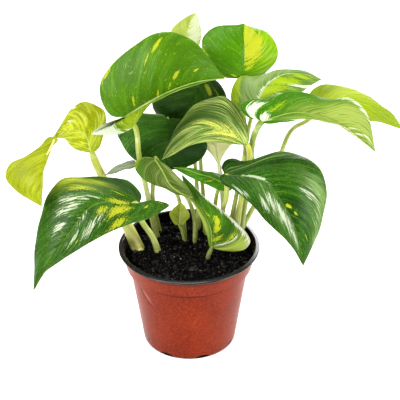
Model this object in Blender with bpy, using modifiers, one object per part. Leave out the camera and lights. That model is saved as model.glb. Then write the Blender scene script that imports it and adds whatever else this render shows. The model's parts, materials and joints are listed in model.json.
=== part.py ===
"""A golden pothos in a 12 cm terracotta-coloured nursery pot.

The origin is the centre of the pot's flat base, +Z up, and the pot's front
looks along -Y. Sizes below are in millimetres and the model is in metres.
"""

import math

import bmesh
import bpy
import numpy as np
from mathutils import Matrix, Vector

MM = 0.001

POT_HEIGHT = 92.0
POT_RIM_RADIUS = 60.0
POT_BASE_RADIUS = 40.0
POT_WALL = 1.0
POT_STEPS = 56
STEP_LOW = 73.0
STEP_HIGH = 74.5
COLLAR_TOP = 89.0
UNDER_STEP_RADIUS = 50.8
COLLAR_RADIUS = 54.0
COLLAR_FLARE = 3.2
NOTCHES = 8
NOTCH_TURN = 16.6
NOTCH_RADIUS = 9.0
NOTCH_HEIGHT = 3.2

SOIL_TOP = 82.5
SOIL_STEPS = 40
BURIED_DEPTH = 64.0
CLEARANCE = 0.35

BLADE_THICKNESS = 0.8
BLADE_ROWS = 12
BLADE_COLUMNS = 6
SWELL = 2.0

# Each blade lies round the straight line from its base to its tip. "left" and
# "right" hold how far the basal lobe reaches back, then the breadth of that
# half at the base and at each sixth of the length, seen on the upper face.
# "lean" swings the two lobes outwards.
# "bow" is how far the midrib lies left of that line at each quarter, "arch"
# is its rise, and "lift" is how far the two margins stand above the upper
# face (below it where negative). "petiole" runs down from the blade.
LEAVES = {
    "upper_left": {
        "base": (-48, 0, 210), "tip": (29, 14, 236), "face": (0, -0.92, 0.38),
        "left": (15, 40, 46, 50, 52, 49, 37), "right": (30, 10, -1, -3, -4, -4, -3),
        "lean": (0, -0.15), "bow": (4, 6, 5), "arch": 9, "lift": (-5, 27),
        "petiole": ((-43, 8, 197), (-41, 17, 166), (-37, 21, 138)), "foot": (-28, 21),
        "radii": (2.0, 2.6), "color": "#609314",
    },
    "upper_right": {
        "base": (43, 41, 226), "tip": (45, 64, 264), "face": (0.05, -0.93, 0.36),
        "left": (1, 16, 25, 30, 33, 33, 28), "right": (1, 12, 23, 28, 29, 27, 21),
        "bow": (-1, -1, 0), "arch": 5, "lift": (-5, -5),
        "petiole": ((42, 43, 211), (46, 40, 187), (48, 32, 154), (46, 26, 130)), "foot": (38, 25),
        "radii": (2.2, 2.8), "color": "#5b8f10",
    },
    "back": {
        "base": (-2, 52, 249), "tip": (6, 58, 275), "face": (-0.1, -0.95, 0.25),
        "left": (2, 13, 15, 15, 13, 10, 6), "right": (1, 8, 10, 10, 9, 7, 4),
        "bow": (2, 2, 2), "arch": 3, "lift": (-3, -3),
        "petiole": ((-2, 55, 226), (1, 53, 190), (5, 43, 148)), "foot": (8, 34),
        "radii": (1.5, 2.2), "color": "#b9cf63",
    },
    "shaded_upper": {
        "base": (14, 50, 223), "tip": (-16, 42, 178), "face": (0, -0.95, 0.30),
        "left": (2, 17, 27, 28, 25, 20, 14), "right": (1, 9, 15, 21, 26, 28, 24),
        "bow": (0, 0, -1), "arch": 5, "lift": (-4, -4),
        "petiole": ((12, 54, 206), (11, 49, 184), (10, 37, 152), (12, 29, 125)), "foot": (14, 27),
        "radii": (1.7, 2.2), "color": "#1f3d14",
    },
    "shaded_lower": {
        "base": (-17, 32, 192), "tip": (-20, 21, 150), "face": (0, -0.97, 0.25),
        "left": (1, 17, 29, 33, 34, 31, 23), "right": (4, 36, 42, 42, 38, 33, 25),
        "bow": (1, 1, 0), "arch": 3, "lift": (-3, -3),
        "petiole": ((-21, 35, 174), (-27, 30, 155), (-31, 26, 130)), "foot": (-26, 30),
        "radii": (1.8, 2.2), "color": "#274b17",
    },
    "striped": {
        "base": (47, 8, 181), "tip": (-22, 8, 167), "face": (-0.05, -0.90, 0.43),
        "left": (0, 0, -3, -6, -8, -7, -3), "right": (3, 26, 42, 42, 39, 30, 18),
        "bow": (-16, -19, -12), "arch": 8, "lift": (1, -5),
        "petiole": ((50, 13, 170), (50, 16, 159), (45, 13, 135)), "foot": (38, 8),
        "radii": (2.2, 2.4), "color": "#7c9a3c",
    },
    "cream": {
        "base": (25, 30, 153), "tip": (22, 41, 182), "face": (0, -0.93, 0.30),
        "left": (0, 1, 4, 8, 12, 13, 11), "right": (0, 1, 4, 9, 14, 15, 12),
        "bow": (1, 1, 0), "arch": 0, "lift": (-2, -2),
        "petiole": ((26, 30, 144), (28, 26, 128)), "foot": (28, 22),
        "radii": (2.0, 2.0), "color": "#e1e4a5",
    },
    "right_upper": {
        "base": (54, 23, 206), "tip": (108, 32, 228), "face": (-0.10, -0.90, 0.43),
        "left": (15, 29, 25, 23, 21, 17, 11), "right": (0, 1, 1, 1, 3, 3, 1),
        "bow": (13, 16, 11), "arch": 5, "lift": (-3, -1),
        "petiole": ((51, 27, 195), (49, 27, 182), (46, 24, 161), (41, 20, 133)), "foot": (33, 19),
        "radii": (1.7, 2.2), "color": "#a9c33f",
    },
    "right": {
        "base": (59, 5, 203), "tip": (150, -4, 180), "face": (0.05, -0.85, 0.52),
        "left": (20, 19, 29, 31, 31, 36, 28), "right": (1, 1, -3, -9, -11, -11, -6),
        "bow": (13, 15, 9), "arch": 8, "lift": (-4, 3),
        "petiole": ((55, 11, 193), (52, 19, 174), (52, 21, 150), (48, 18, 125)), "foot": (42, 15),
        "radii": (2.6, 2.6), "color": "#8fb84a",
    },
    "far_right": {
        "base": (105, 38, 194), "tip": (180, 38, 180), "face": (0.10, -0.85, 0.52),
        "left": (8, 25, 28, 26, 23, 18, 12), "right": (1, 2, 4, 3, 0, -2, -1),
        "bow": (14, 14, 9), "arch": 8, "lift": (-4, -2),
        "petiole": ((98, 38, 188), (88, 36, 183), (76, 31, 158), (62, 25, 128)), "foot": (42, 21),
        "radii": (1.8, 2.2), "color": "#bed131",
    },
    "olive": {
        "base": (-27, 5, 169), "tip": (4, -7, 140), "face": (0.08, 0.95, -0.32),
        "left": (10, 19, 18, 15, 11, 9, 5), "right": (1, 1, 3, 4, 4, 4, 3),
        "lean": (0.35, 0), "bow": (2, 5, 4), "arch": -4, "lift": (1, 1),
        "petiole": ((-28, 10, 171), (-24, 15, 159), (-12, 15, 143), (0, 14, 125), (5, 14, 105)), "foot": (5, 15),
        "radii": (1.6, 2.2), "color": "#7e903d",
    },
    "front": {
        "base": (19, -14, 97), "tip": (-6, 10, 153), "face": (-0.28, -0.92, 0.27),
        "left": (1, 1, -1, -2, -2, 0, 1), "right": (11, 32, 28, 22, 16, 10, 5),
        "lean": (0, 0.6), "bow": (-6, -5, -2), "arch": 2, "lift": (2, -4),
        "petiole": ((17, -13, 90),), "foot": (15, -12),
        "radii": (1.8, 2.2), "color": "#3e6f1c",
    },
    "front_right": {
        "base": (30, -4, 160), "tip": (93, -41, 96), "face": (0.12, -0.80, 0.59),
        "left": (9, 19, 50, 61, 62, 54, 35), "right": (2, 6, 3, 1, 1, -1, -2),
        "bow": (19, 18, 12), "arch": 10, "lift": (-8, -4),
        "petiole": ((31, -4, 149), (31, -4, 139), (29, 3, 126)), "foot": (24, 13),
        "radii": (2.0, 2.2), "color": "#3f7f1e",
    },
    "narrow": {
        "base": (27, 8, 146), "tip": (-13, 16, 156), "face": (0.10, -0.40, 0.90),
        "left": (10, 7, 7, 7, 6, 5, 3), "right": (7, 9, 8, 6, 5, 4, 3),
        "bow": (0, 1, 0), "arch": 3, "lift": (-2, -2),
        "petiole": ((24, 11, 136), (22, 15, 118)), "foot": (20, 18),
        "radii": (1.6, 2.2), "color": "#4c8a1c",
    },
    "front_left": {
        "base": (-41, -9, 136), "tip": (-127, -45, 74), "face": (-0.12, -0.78, 0.62),
        "left": (18, 15, 8, 3, 0, -3, -5), "right": (7, 28, 46, 57, 53, 40, 22),
        "lean": (1, 0), "bow": (-21, -16, -8), "arch": 10, "lift": (-5, -8),
        "petiole": ((-42, -5, 125), (-38, -3, 113), (-31, -2, 100)), "foot": (-26, -2),
        "radii": (2.2, 2.8), "color": "#4c8b25",
    },
    "far_left": {
        "base": (-80, 14, 171), "tip": (-114, 21, 178), "face": (-0.10, -0.88, 0.46),
        "left": (0, 0, 1, 1, -1, -5, -4), "right": (6, 36, 38, 39, 38, 32, 19),
        "bow": (-13, -14, -9), "arch": 4, "lift": (-2, -4),
        "petiole": ((-77, 18, 159), (-73, 19, 147), (-62, 15, 123)), "foot": (-44, 5),
        "radii": (3.2, 5.6), "color": "#d9e35c",
        "second": {
            "base": (-109, 16, 183), "tip": (-119, -16, 137), "face": (-0.10, -0.88, 0.46),
            "left": (0, 2, -1, -2, -3, -2, -1), "right": (1, 6, 11, 21, 33, 35, 24),
            "bow": (-3, -4, -3), "arch": 3, "lift": (0, -2),
        },
    },
    "thin": {
        "base": (-43, 10, 162), "tip": (-70, 8, 152), "face": (0, -0.95, 0.30),
        "left": (0, 1, 2, 1, 1, 1, 0), "right": (0, 3, 5, 5, 5, 4, 2),
        "bow": (-1, -2, -1), "arch": 1, "lift": (-1, -1),
        "petiole": ((-33, 12, 156), (-21, 12, 145), (-11, 13, 134), (-7, 14, 120)), "foot": (-4, 17),
        "radii": (1.4, 2.2), "color": "#9aa78b",
    },
    "bud": {
        "base": (-8, 8, 106), "tip": (-7, 6, 129), "face": (0.05, -0.97, 0.20),
        "left": (0, 3, 6, 8, 9, 7, 4), "right": (0, 2, 5, 8, 8, 6, 4),
        "bow": (0, 0, 0), "arch": -2, "lift": (3, 3),
        "petiole": ((-6, 10, 98),), "foot": (-3, 11),
        "radii": (1.5, 1.8), "color": "#b4c06a",
    },
}


def smooth_path(points, places):
    """The points at the given fractions of a smooth path through these."""
    kept = [np.array(points[0], float)]
    for point in points[1:]:
        point = np.array(point, float)
        if np.linalg.norm(point - kept[-1]) > 0.4:
            kept.append(point)
    path = np.array(kept)
    gaps = np.linalg.norm(np.diff(path, axis=0), axis=1)
    marks = np.concatenate([[0.0], np.cumsum(gaps)])
    slopes = np.zeros_like(path)
    slopes[0] = (path[1] - path[0]) / gaps[0]
    slopes[-1] = (path[-1] - path[-2]) / gaps[-1]
    for i in range(1, len(path) - 1):
        before, after = gaps[i - 1], gaps[i]
        slopes[i] = (
            (path[i] - path[i - 1]) / before * after
            + (path[i + 1] - path[i]) / after * before
        ) / (before + after)
    x = np.clip(np.asarray(places, float), 0, 1) * marks[-1]
    i = np.clip(np.searchsorted(marks, x, side="right") - 1, 0, len(path) - 2)
    h = gaps[i][:, None]
    u = ((x - marks[i]) / gaps[i])[:, None]
    return (
        (2 * u**3 - 3 * u**2 + 1) * path[i]
        + (u**3 - 2 * u**2 + u) * h * slopes[i]
        + (3 * u**2 - 2 * u**3) * path[i + 1]
        + (u**3 - u**2) * h * slopes[i + 1]
    )


def leaf_frame(leaf):
    """Base, length, and the unit vectors along, left of and above the blade."""
    base, tip, face = (np.array(leaf[k], float) for k in ("base", "tip", "face"))
    along = tip - base
    length = np.linalg.norm(along)
    along /= length
    above = face - face.dot(along) * along
    above /= np.linalg.norm(above)
    return base, length, along, np.cross(above, along), above


def half_outline(half, length, lean):
    """The margin of one half from the base round the lobe to the tip."""
    lobe, breadths = half[0], half[1:]
    first = breadths[0]
    margin = [
        (0, 0),
        (-0.75 * lobe, (0.10 + 0.43 * lean) * first),
        (-lobe, (0.40 + 0.75 * lean) * first),
        (-0.70 * lobe, (0.78 + 0.35 * lean) * first),
    ]
    margin += [(length * i / 6, breadth) for i, breadth in enumerate(breadths)]
    return margin + [(length, 0)]


def blade_point(leaf, row, across):
    """A point of the blade: row 0 to 1 along, across -1 (right) to 1 (left)."""
    base, length, along, left, above = leaf_frame(leaf)
    side = 1 if across >= 0 else -1
    half = leaf["left"] if side > 0 else leaf["right"]
    lean = leaf.get("lean", (0, 0))[0 if side > 0 else 1]
    x, y = smooth_path(half_outline(half, length, lean), [row])[0]
    reach = min(max((row - 0.16) / 0.84, 0), 1) ** 1.25
    bows = [(length * (i + 1) / 4, bow) for i, bow in enumerate(leaf["bow"])]
    mid_x, mid_y = smooth_path([(0, 0)] + bows + [(length, 0)], [reach])[0]
    v = abs(across)
    x, y = mid_x + (x - mid_x) * v, mid_y + (side * y - mid_y) * v
    ahead = min(max(x / length, 0), 1)
    envelope = math.sin(math.pi * row) ** 0.6 if 0 < row < 1 else 0
    lift = leaf["lift"][0 if side > 0 else 1]
    broad = max(max(half) / 30, 0.25)
    height = (
        leaf["arch"] * 4 * ahead * (1 - ahead)
        + lift * v**1.6 * envelope
        + SWELL * min(broad, 1) * 4 * v * (1 - v) * envelope
        + 0.7 * min(broad, 1) * v * v * math.sin(22 * row + 2 * side) * envelope
    )
    return base + x * along + y * left + height * above


def material(name, color, roughness):
    """A plain material, with its colour given as sRGB hex."""
    made = bpy.data.materials.new(name)
    made.use_nodes = True
    shader = made.node_tree.nodes["Principled BSDF"]
    channels = []
    for i in (1, 3, 5):
        value = int(color[i : i + 2], 16) / 255
        channels.append(value / 12.92 if value <= 0.04045 else ((value + 0.055) / 1.055) ** 2.4)
    shader.inputs["Base Color"].default_value = (*channels, 1)
    shader.inputs["Roughness"].default_value = roughness
    shader.inputs["Metallic"].default_value = 0
    return made


def applied(obj):
    """Applies the object's modifiers and returns it."""
    bpy.context.view_layer.update()
    mesh = bpy.data.meshes.new_from_object(obj.evaluated_get(bpy.context.evaluated_depsgraph_get()))
    old = obj.data
    obj.modifiers.clear()
    obj.data = mesh
    bpy.data.meshes.remove(old)
    return obj


def cleaned(mesh):
    """Merges doubled points and turns the faces out."""
    bm = bmesh.new()
    bm.from_mesh(mesh)
    bmesh.ops.remove_doubles(bm, verts=bm.verts, dist=0.00001)
    bmesh.ops.recalc_face_normals(bm, faces=bm.faces)
    bm.to_mesh(mesh)
    bm.free()


def add_object(name, mesh, collection):
    obj = bpy.data.objects.new(name, mesh)
    collection.objects.link(obj)
    return obj


def tube(name, points, radii, samples, collection, narrow=0.7):
    """A round tapering stem through the points, as a closed mesh."""
    places = np.linspace(0, 1, samples)
    path = smooth_path(points, places)
    curve = bpy.data.curves.new(name, "CURVE")
    curve.dimensions = "3D"
    curve.bevel_depth = MM
    curve.bevel_resolution = 2
    curve.use_fill_caps = True
    spline = curve.splines.new("POLY")
    spline.points.add(samples - 1)
    for point, place, at in zip(spline.points, path, places):
        point.co = (*(place * MM), 1)
        point.radius = float(np.interp(at, [0, 0.06, 1], [radii[0] * narrow, radii[0], radii[1]]))
    drawn = add_object(name + "_path", curve, collection)
    bpy.context.view_layer.update()
    mesh = bpy.data.meshes.new_from_object(
        drawn.evaluated_get(bpy.context.evaluated_depsgraph_get())
    )
    bpy.data.objects.remove(drawn)
    bpy.data.curves.remove(curve)
    cleaned(mesh)
    return add_object(name, mesh, collection)


def blade(name, leaf, collection):
    """The blade: a grid drawn into the leaf's outline, then thickened."""
    bm = bmesh.new()
    bmesh.ops.create_grid(bm, x_segments=BLADE_COLUMNS, y_segments=BLADE_ROWS, size=1)
    for vertex in bm.verts:
        across = round(vertex.co.x * 1000) / 1000
        point = blade_point(leaf, (vertex.co.y + 1) / 2, across)
        vertex.co = Vector(point * MM)
    bmesh.ops.remove_doubles(bm, verts=bm.verts, dist=0.00005)
    bmesh.ops.triangulate(bm, faces=bm.faces)
    mesh = bpy.data.meshes.new(name)
    bm.to_mesh(mesh)
    bm.free()
    obj = add_object(name, mesh, collection)
    thick = obj.modifiers.new("thickness", "SOLIDIFY")
    thick.thickness = BLADE_THICKNESS * MM
    thick.offset = 0
    applied(obj)
    cleaned(obj.data)
    return obj


def stalk_path(leaf, deepest):
    """From under the start of the midrib down to the foot in the soil."""
    base, length, along, left, above = leaf_frame(leaf)
    radius = leaf["radii"][0]
    start = blade_point(leaf, 0.27, 0) - above * radius * 0.15
    joint = base - above * radius * 0.35
    x, y = leaf["foot"]
    drawn_in = 0.9
    return (
        [start, joint]
        + [np.array(p, float) for p in leaf["petiole"]]
        + [np.array((x, y, SOIL_TOP)), np.array((x * drawn_in, y * drawn_in, deepest))]
    )


def join(target, other, operation):
    """Boolean of target with other, applied, with other removed."""
    step = target.modifiers.new("join", "BOOLEAN")
    step.operation = operation
    step.solver = "MANIFOLD"
    step.object = other
    applied(target)
    bpy.data.objects.remove(other)


def turned(name, profile, steps, collection):
    """A turned solid from a profile of (radius, height) down its outer side."""
    mesh = bpy.data.meshes.new(name)
    mesh.from_pydata(
        [(r * MM, 0, z * MM) for r, z in profile],
        [(i, i + 1) for i in range(len(profile) - 1)],
        [],
    )
    obj = add_object(name, mesh, collection)
    screw = obj.modifiers.new("turn", "SCREW")
    screw.steps = steps
    screw.render_steps = steps
    screw.use_merge_vertices = True
    screw.merge_threshold = 0.00005
    applied(obj)
    cleaned(obj.data)
    return obj


def wall_radius(z):
    """The pot's outer radius at height z: a taper, a step and a collar."""
    if z >= STEP_HIGH:
        return COLLAR_RADIUS + (z - STEP_HIGH) * COLLAR_FLARE / (COLLAR_TOP - STEP_HIGH)
    if z >= STEP_LOW:
        rise = (z - STEP_LOW) / (STEP_HIGH - STEP_LOW)
        return UNDER_STEP_RADIUS + rise * (COLLAR_RADIUS - UNDER_STEP_RADIUS)
    foot = POT_BASE_RADIUS + 0.6
    return foot + (z - 1.2) * (UNDER_STEP_RADIUS - foot) / (STEP_LOW - 1.2)


def build_pot(collection, cutters):
    top = POT_HEIGHT
    outer = [
        (0, top - 91), (39.0, top - 91), (wall_radius(1.2) - 1.2, 2.4),
        (wall_radius(40) - POT_WALL, 40), (UNDER_STEP_RADIUS - 1.1, STEP_LOW + 0.4),
        (COLLAR_RADIUS - POT_WALL, STEP_HIGH + 0.8), (wall_radius(88.5) - POT_WALL, 89.4),
        (56.4, top - 1.0), (57.2, top - 0.2), (58.2, top), (59.4, top - 0.2),
        (POT_RIM_RADIUS, top - 0.9), (POT_RIM_RADIUS, top - 1.5), (59.4, top - 2.0),
        (58.1, top - 2.4), (57.3, top - 3.2), (wall_radius(88), 88.0),
        (wall_radius(STEP_HIGH + 0.1), STEP_HIGH + 0.1), (UNDER_STEP_RADIUS, STEP_LOW),
        (wall_radius(40), 40), (wall_radius(1.2), 1.2), (40.2, 0.4),
        (39.4, 0), (0, 0),
    ]
    pot = turned("pot", outer, POT_STEPS, collection)
    for i in range(NOTCHES):
        angle = math.radians(NOTCH_TURN - 90 + 360 / NOTCHES * i)
        bm = bmesh.new()
        bmesh.ops.create_cone(
            bm, cap_ends=True, segments=20, radius1=NOTCH_RADIUS * MM,
            radius2=NOTCH_RADIUS * MM, depth=9 * MM,
        )
        mesh = bpy.data.meshes.new("notch")
        bm.to_mesh(mesh)
        bm.free()
        cutter = add_object("notch", mesh, cutters)
        cutter.matrix_world = (
            Matrix.Rotation(angle, 4, "Z")
            @ Matrix.Translation((39.5 * MM, 0, (NOTCH_HEIGHT - NOTCH_RADIUS) * MM))
            @ Matrix.Rotation(math.pi / 2, 4, "Y")
        )
        join(pot, cutter, "DIFFERENCE")
    return pot


def soil_height(x, y):
    """Lumps on the soil, in millimetres, from a few waves."""
    return (
        0.9 * math.sin(0.21 * x + 1.3) * math.cos(0.17 * y - 0.4)
        + 0.7 * math.sin(0.43 * x - 0.31 * y)
        + 0.6 * math.cos(0.29 * x + 0.52 * y + 2.0)
    )


def build_soil(collection, cutters):
    gap = POT_WALL + CLEARANCE
    edge = wall_radius(81) - gap - 0.2
    profile = [(edge * k / 8, SOIL_TOP) for k in range(9)]
    profile += [
        (52.6, 80.2), (50.2, 76.5), (49.0, 73.4), (wall_radius(71) - gap - 0.3, 71.0),
        (wall_radius(40) - gap - 0.1, 40), (wall_radius(3) - gap - 0.6, 3.0), (38.0, 1.4), (0, 1.4),
    ]
    soil = turned("soil", profile, SOIL_STEPS, collection)
    for vertex in soil.data.vertices:
        x, y, z = (c / MM for c in vertex.co)
        if z > SOIL_TOP - 0.1:
            fade = min(1, (edge - math.hypot(x, y)) / 6 + 0.25)
            vertex.co.z += MM * fade * (soil_height(x, y) + 1.2)
    for name, leaf in LEAVES.items():
        path = smooth_path(stalk_path(leaf, BURIED_DEPTH - 0.5), np.linspace(0, 1, 80))
        path = [p for p in path if p[2] < SOIL_TOP + 9]
        radius = leaf["radii"][1] + 2 * CLEARANCE
        cutter = tube("hole_" + name, path, (radius, radius), 7, cutters, narrow=1)
        join(soil, cutter, "DIFFERENCE")
    return soil


def build_leaf(name, leaf, collection):
    body = blade("leaf_" + name, leaf, collection)
    if "second" in leaf:
        second = leaf["second"]
        neck = [blade_point(leaf, row, 0) for row in (0.78, 0.95)]
        neck += [blade_point(second, row, 0) for row in (0.22, 0.45)]
        join(body, tube("neck_" + name, neck, (1.3, 1.0), 10, collection), "UNION")
        join(body, blade("fold_" + name, second, collection), "UNION")
    stalk = tube("stalk_" + name, stalk_path(leaf, BURIED_DEPTH), leaf["radii"], 14, collection)
    join(body, stalk, "UNION")
    cleaned(body.data)
    return body


def main():
    for obj in list(bpy.data.objects):
        bpy.data.objects.remove(obj)
    plant = bpy.data.collections.new("potted_pothos")
    cutters = bpy.data.collections.new("cutters")
    for collection in (plant, cutters):
        bpy.context.scene.collection.children.link(collection)
    cutters.hide_render = True

    pot = build_pot(plant, cutters)
    pot.data.materials.append(material("terracotta_plastic", "#a23d21", 0.45))
    soil = build_soil(plant, cutters)
    soil.data.materials.append(material("potting_soil", "#0d0b0a", 0.95))
    for name, leaf in LEAVES.items():
        obj = build_leaf(name, leaf, plant)
        obj.data.materials.append(material("leaf_" + name, leaf["color"], 0.35))
    for obj in plant.objects:
        obj.data.shade_smooth()
        obj.data.set_sharp_from_angle(angle=math.radians(40))


main()
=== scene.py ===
import json
import math
from functools import partial

import bmesh
import bpy
import numpy as np
from mathutils import Matrix, Vector, noise

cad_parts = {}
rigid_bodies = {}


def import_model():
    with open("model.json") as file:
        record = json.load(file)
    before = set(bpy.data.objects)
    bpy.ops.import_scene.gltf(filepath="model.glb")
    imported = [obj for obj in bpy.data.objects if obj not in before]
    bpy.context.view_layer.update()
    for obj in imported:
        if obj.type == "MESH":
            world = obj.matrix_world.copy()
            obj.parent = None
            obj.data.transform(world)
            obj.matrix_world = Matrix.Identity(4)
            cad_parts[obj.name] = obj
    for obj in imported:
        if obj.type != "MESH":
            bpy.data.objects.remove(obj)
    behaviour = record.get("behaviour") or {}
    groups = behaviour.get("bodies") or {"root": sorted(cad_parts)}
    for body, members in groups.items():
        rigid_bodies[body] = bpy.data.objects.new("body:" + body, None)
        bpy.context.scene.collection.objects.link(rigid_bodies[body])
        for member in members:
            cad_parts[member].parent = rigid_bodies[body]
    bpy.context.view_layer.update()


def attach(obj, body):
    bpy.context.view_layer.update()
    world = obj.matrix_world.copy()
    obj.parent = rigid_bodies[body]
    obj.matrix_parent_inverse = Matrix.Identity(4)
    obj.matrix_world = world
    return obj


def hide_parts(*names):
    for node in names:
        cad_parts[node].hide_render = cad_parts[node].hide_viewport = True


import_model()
mm = 0.001
colorMix = {"out": 2, "data_type": "RGBA"}  # turns a Mix node to colours
print("frame loaded")


def srgb(hexColor):
    # an sRGB hex colour as linear values
    channels = []
    for i in (1, 3, 5):
        value = int(hexColor[i:i + 2], 16) / 255
        channels.append(value / 12.92 if value <= 0.04045 else ((value + 0.055) / 1.055) ** 2.4)
    return (*channels, 1.0)


def feed(tree, node, inputs):
    for key, value in inputs.items():
        if isinstance(value, bpy.types.NodeSocket):
            tree.links.new(value, node.inputs[key])
        else:
            node.inputs[key].default_value = value


def addNode(tree, kind, inputs=None, out=0, **settings):
    # One node with its settings; each input is a value or a link; returns one output.
    # A kind without a family's name is a shader node. Inputs go by name or number: Map
    # Range turns the range 1 to 2 into 3 to 4, and a Mix of colours has its factor at 0
    # and its colours at 6 and 7.
    family = "" if kind.startswith(("Geometry", "Function")) else "ShaderNode"
    node = tree.nodes.new(family + kind)
    for key, value in settings.items():
        setattr(node, key, value)
    feed(tree, node, inputs or {})
    return node.outputs[out]


def cellsOf(size):
    # the scale of a noise whose cells are this many millimetres wide
    return 1 / (size * mm)


def newMaterial(name):
    made = bpy.data.materials.new(name)
    made.use_nodes = True
    tree = made.node_tree
    return made, tree, tree.nodes["Principled BSDF"], partial(addNode, tree)


def newTree(name, inputs):
    # a Geometry Nodes tree with named inputs, its input sockets and its node adder
    tree = bpy.data.node_groups.new(name, "GeometryNodeTree")
    for key, kind in {"Geometry": "Geometry", **inputs, "Material": "Material"}.items():
        tree.interface.new_socket(key, in_out="INPUT", socket_type="NodeSocket" + kind)
    tree.interface.new_socket("Geometry", in_out="OUTPUT", socket_type="NodeSocketGeometry")
    return tree, tree.nodes.new("NodeGroupInput").outputs, partial(addNode, tree)


def endTree(tree, shape, material):
    # the shape made real, in its material, goes to the tree's output
    shape = addNode(tree, "GeometryNodeRealizeInstances", {"Geometry": shape})
    shape = addNode(tree, "GeometryNodeSetMaterial", {"Geometry": shape, "Material": material})
    tree.links.new(shape, tree.nodes.new("NodeGroupOutput").inputs["Geometry"])
    return tree


def smoothPath(points, places):
    # points at the given fractions of a smooth path through these
    kept = [np.array(points[0], float)]
    for point in points[1:]:
        if np.linalg.norm(np.array(point, float) - kept[-1]) > 0.4:
            kept.append(np.array(point, float))
    path = np.array(kept)
    gaps = np.linalg.norm(np.diff(path, axis=0), axis=1)
    marks = np.concatenate([[0.0], np.cumsum(gaps)])
    slopes = np.zeros_like(path)
    slopes[0] = (path[1] - path[0]) / gaps[0]
    slopes[-1] = (path[-1] - path[-2]) / gaps[-1]
    for i in range(1, len(path) - 1):
        before, after = gaps[i - 1], gaps[i]
        slopes[i] = ((path[i] - path[i - 1]) / before * after
                     + (path[i + 1] - path[i]) / after * before) / (before + after)
    x = np.clip(np.asarray(places, float), 0, 1) * marks[-1]
    i = np.clip(np.searchsorted(marks, x, side="right") - 1, 0, len(path) - 2)
    h = gaps[i][:, None]
    u = ((x - marks[i]) / gaps[i])[:, None]
    return ((2 * u**3 - 3 * u**2 + 1) * path[i] + (u**3 - 2 * u**2 + u) * h * slopes[i]
            + (3 * u**2 - 2 * u**3) * path[i + 1] + (u**3 - u**2) * h * slopes[i + 1])


def addObject(name, data):
    piece = bpy.data.objects.new(name, data)
    bpy.context.scene.collection.objects.link(piece)
    return piece


def pointValues(mesh, key, numbers):
    layer = mesh.attributes.new(key, "FLOAT", "POINT")
    layer.data.foreach_set("value", np.asarray(numbers, np.float32))


def meshOf(bm, name, materials=()):
    mesh = bpy.data.meshes.new(name)
    bm.to_mesh(mesh)
    bm.free()
    for material in materials:
        mesh.materials.append(material)
    return mesh


def closedMesh(name, points, faces, materials, slots=None, values=None):
    # points in millimetres; doubled ones are merged and the faces turned out
    mesh = bpy.data.meshes.new(name)
    mesh.from_pydata((np.array(points, float) * mm).tolist(), [], faces)
    for key, numbers in (values or {}).items():
        pointValues(mesh, key, numbers)
    if slots:
        mesh.polygons.foreach_set("material_index", slots)
    for material in materials:
        mesh.materials.append(material)
    bm = bmesh.new()
    bm.from_mesh(mesh)
    bmesh.ops.remove_doubles(bm, verts=bm.verts, dist=0.002 * mm)
    bmesh.ops.dissolve_degenerate(bm, edges=bm.edges, dist=0.001 * mm)
    bmesh.ops.recalc_face_normals(bm, faces=bm.faces)
    bm.to_mesh(mesh)
    bm.free()
    mesh.shade_smooth()
    return mesh


def evaluatedMesh(obj):
    bpy.context.view_layer.update()
    return bpy.data.meshes.new_from_object(obj.evaluated_get(bpy.context.evaluated_depsgraph_get()))


def runTree(obj, tree, inputs):
    # sets the tree's inputs by their identifiers and returns the resulting mesh
    modifier = obj.modifiers.new("grow", "NODES")
    modifier.node_group = tree
    for item in tree.interface.items_tree:
        if item.item_type == "SOCKET" and item.in_out == "INPUT" and item.name in inputs:
            modifier[item.identifier] = inputs[item.name]
    mesh = evaluatedMesh(obj)
    obj.modifiers.remove(modifier)
    return mesh


def takesPlace(piece, node):
    # the piece rides on the plant's one body and stands for that CAD node
    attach(piece, "root")
    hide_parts(node)


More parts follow.
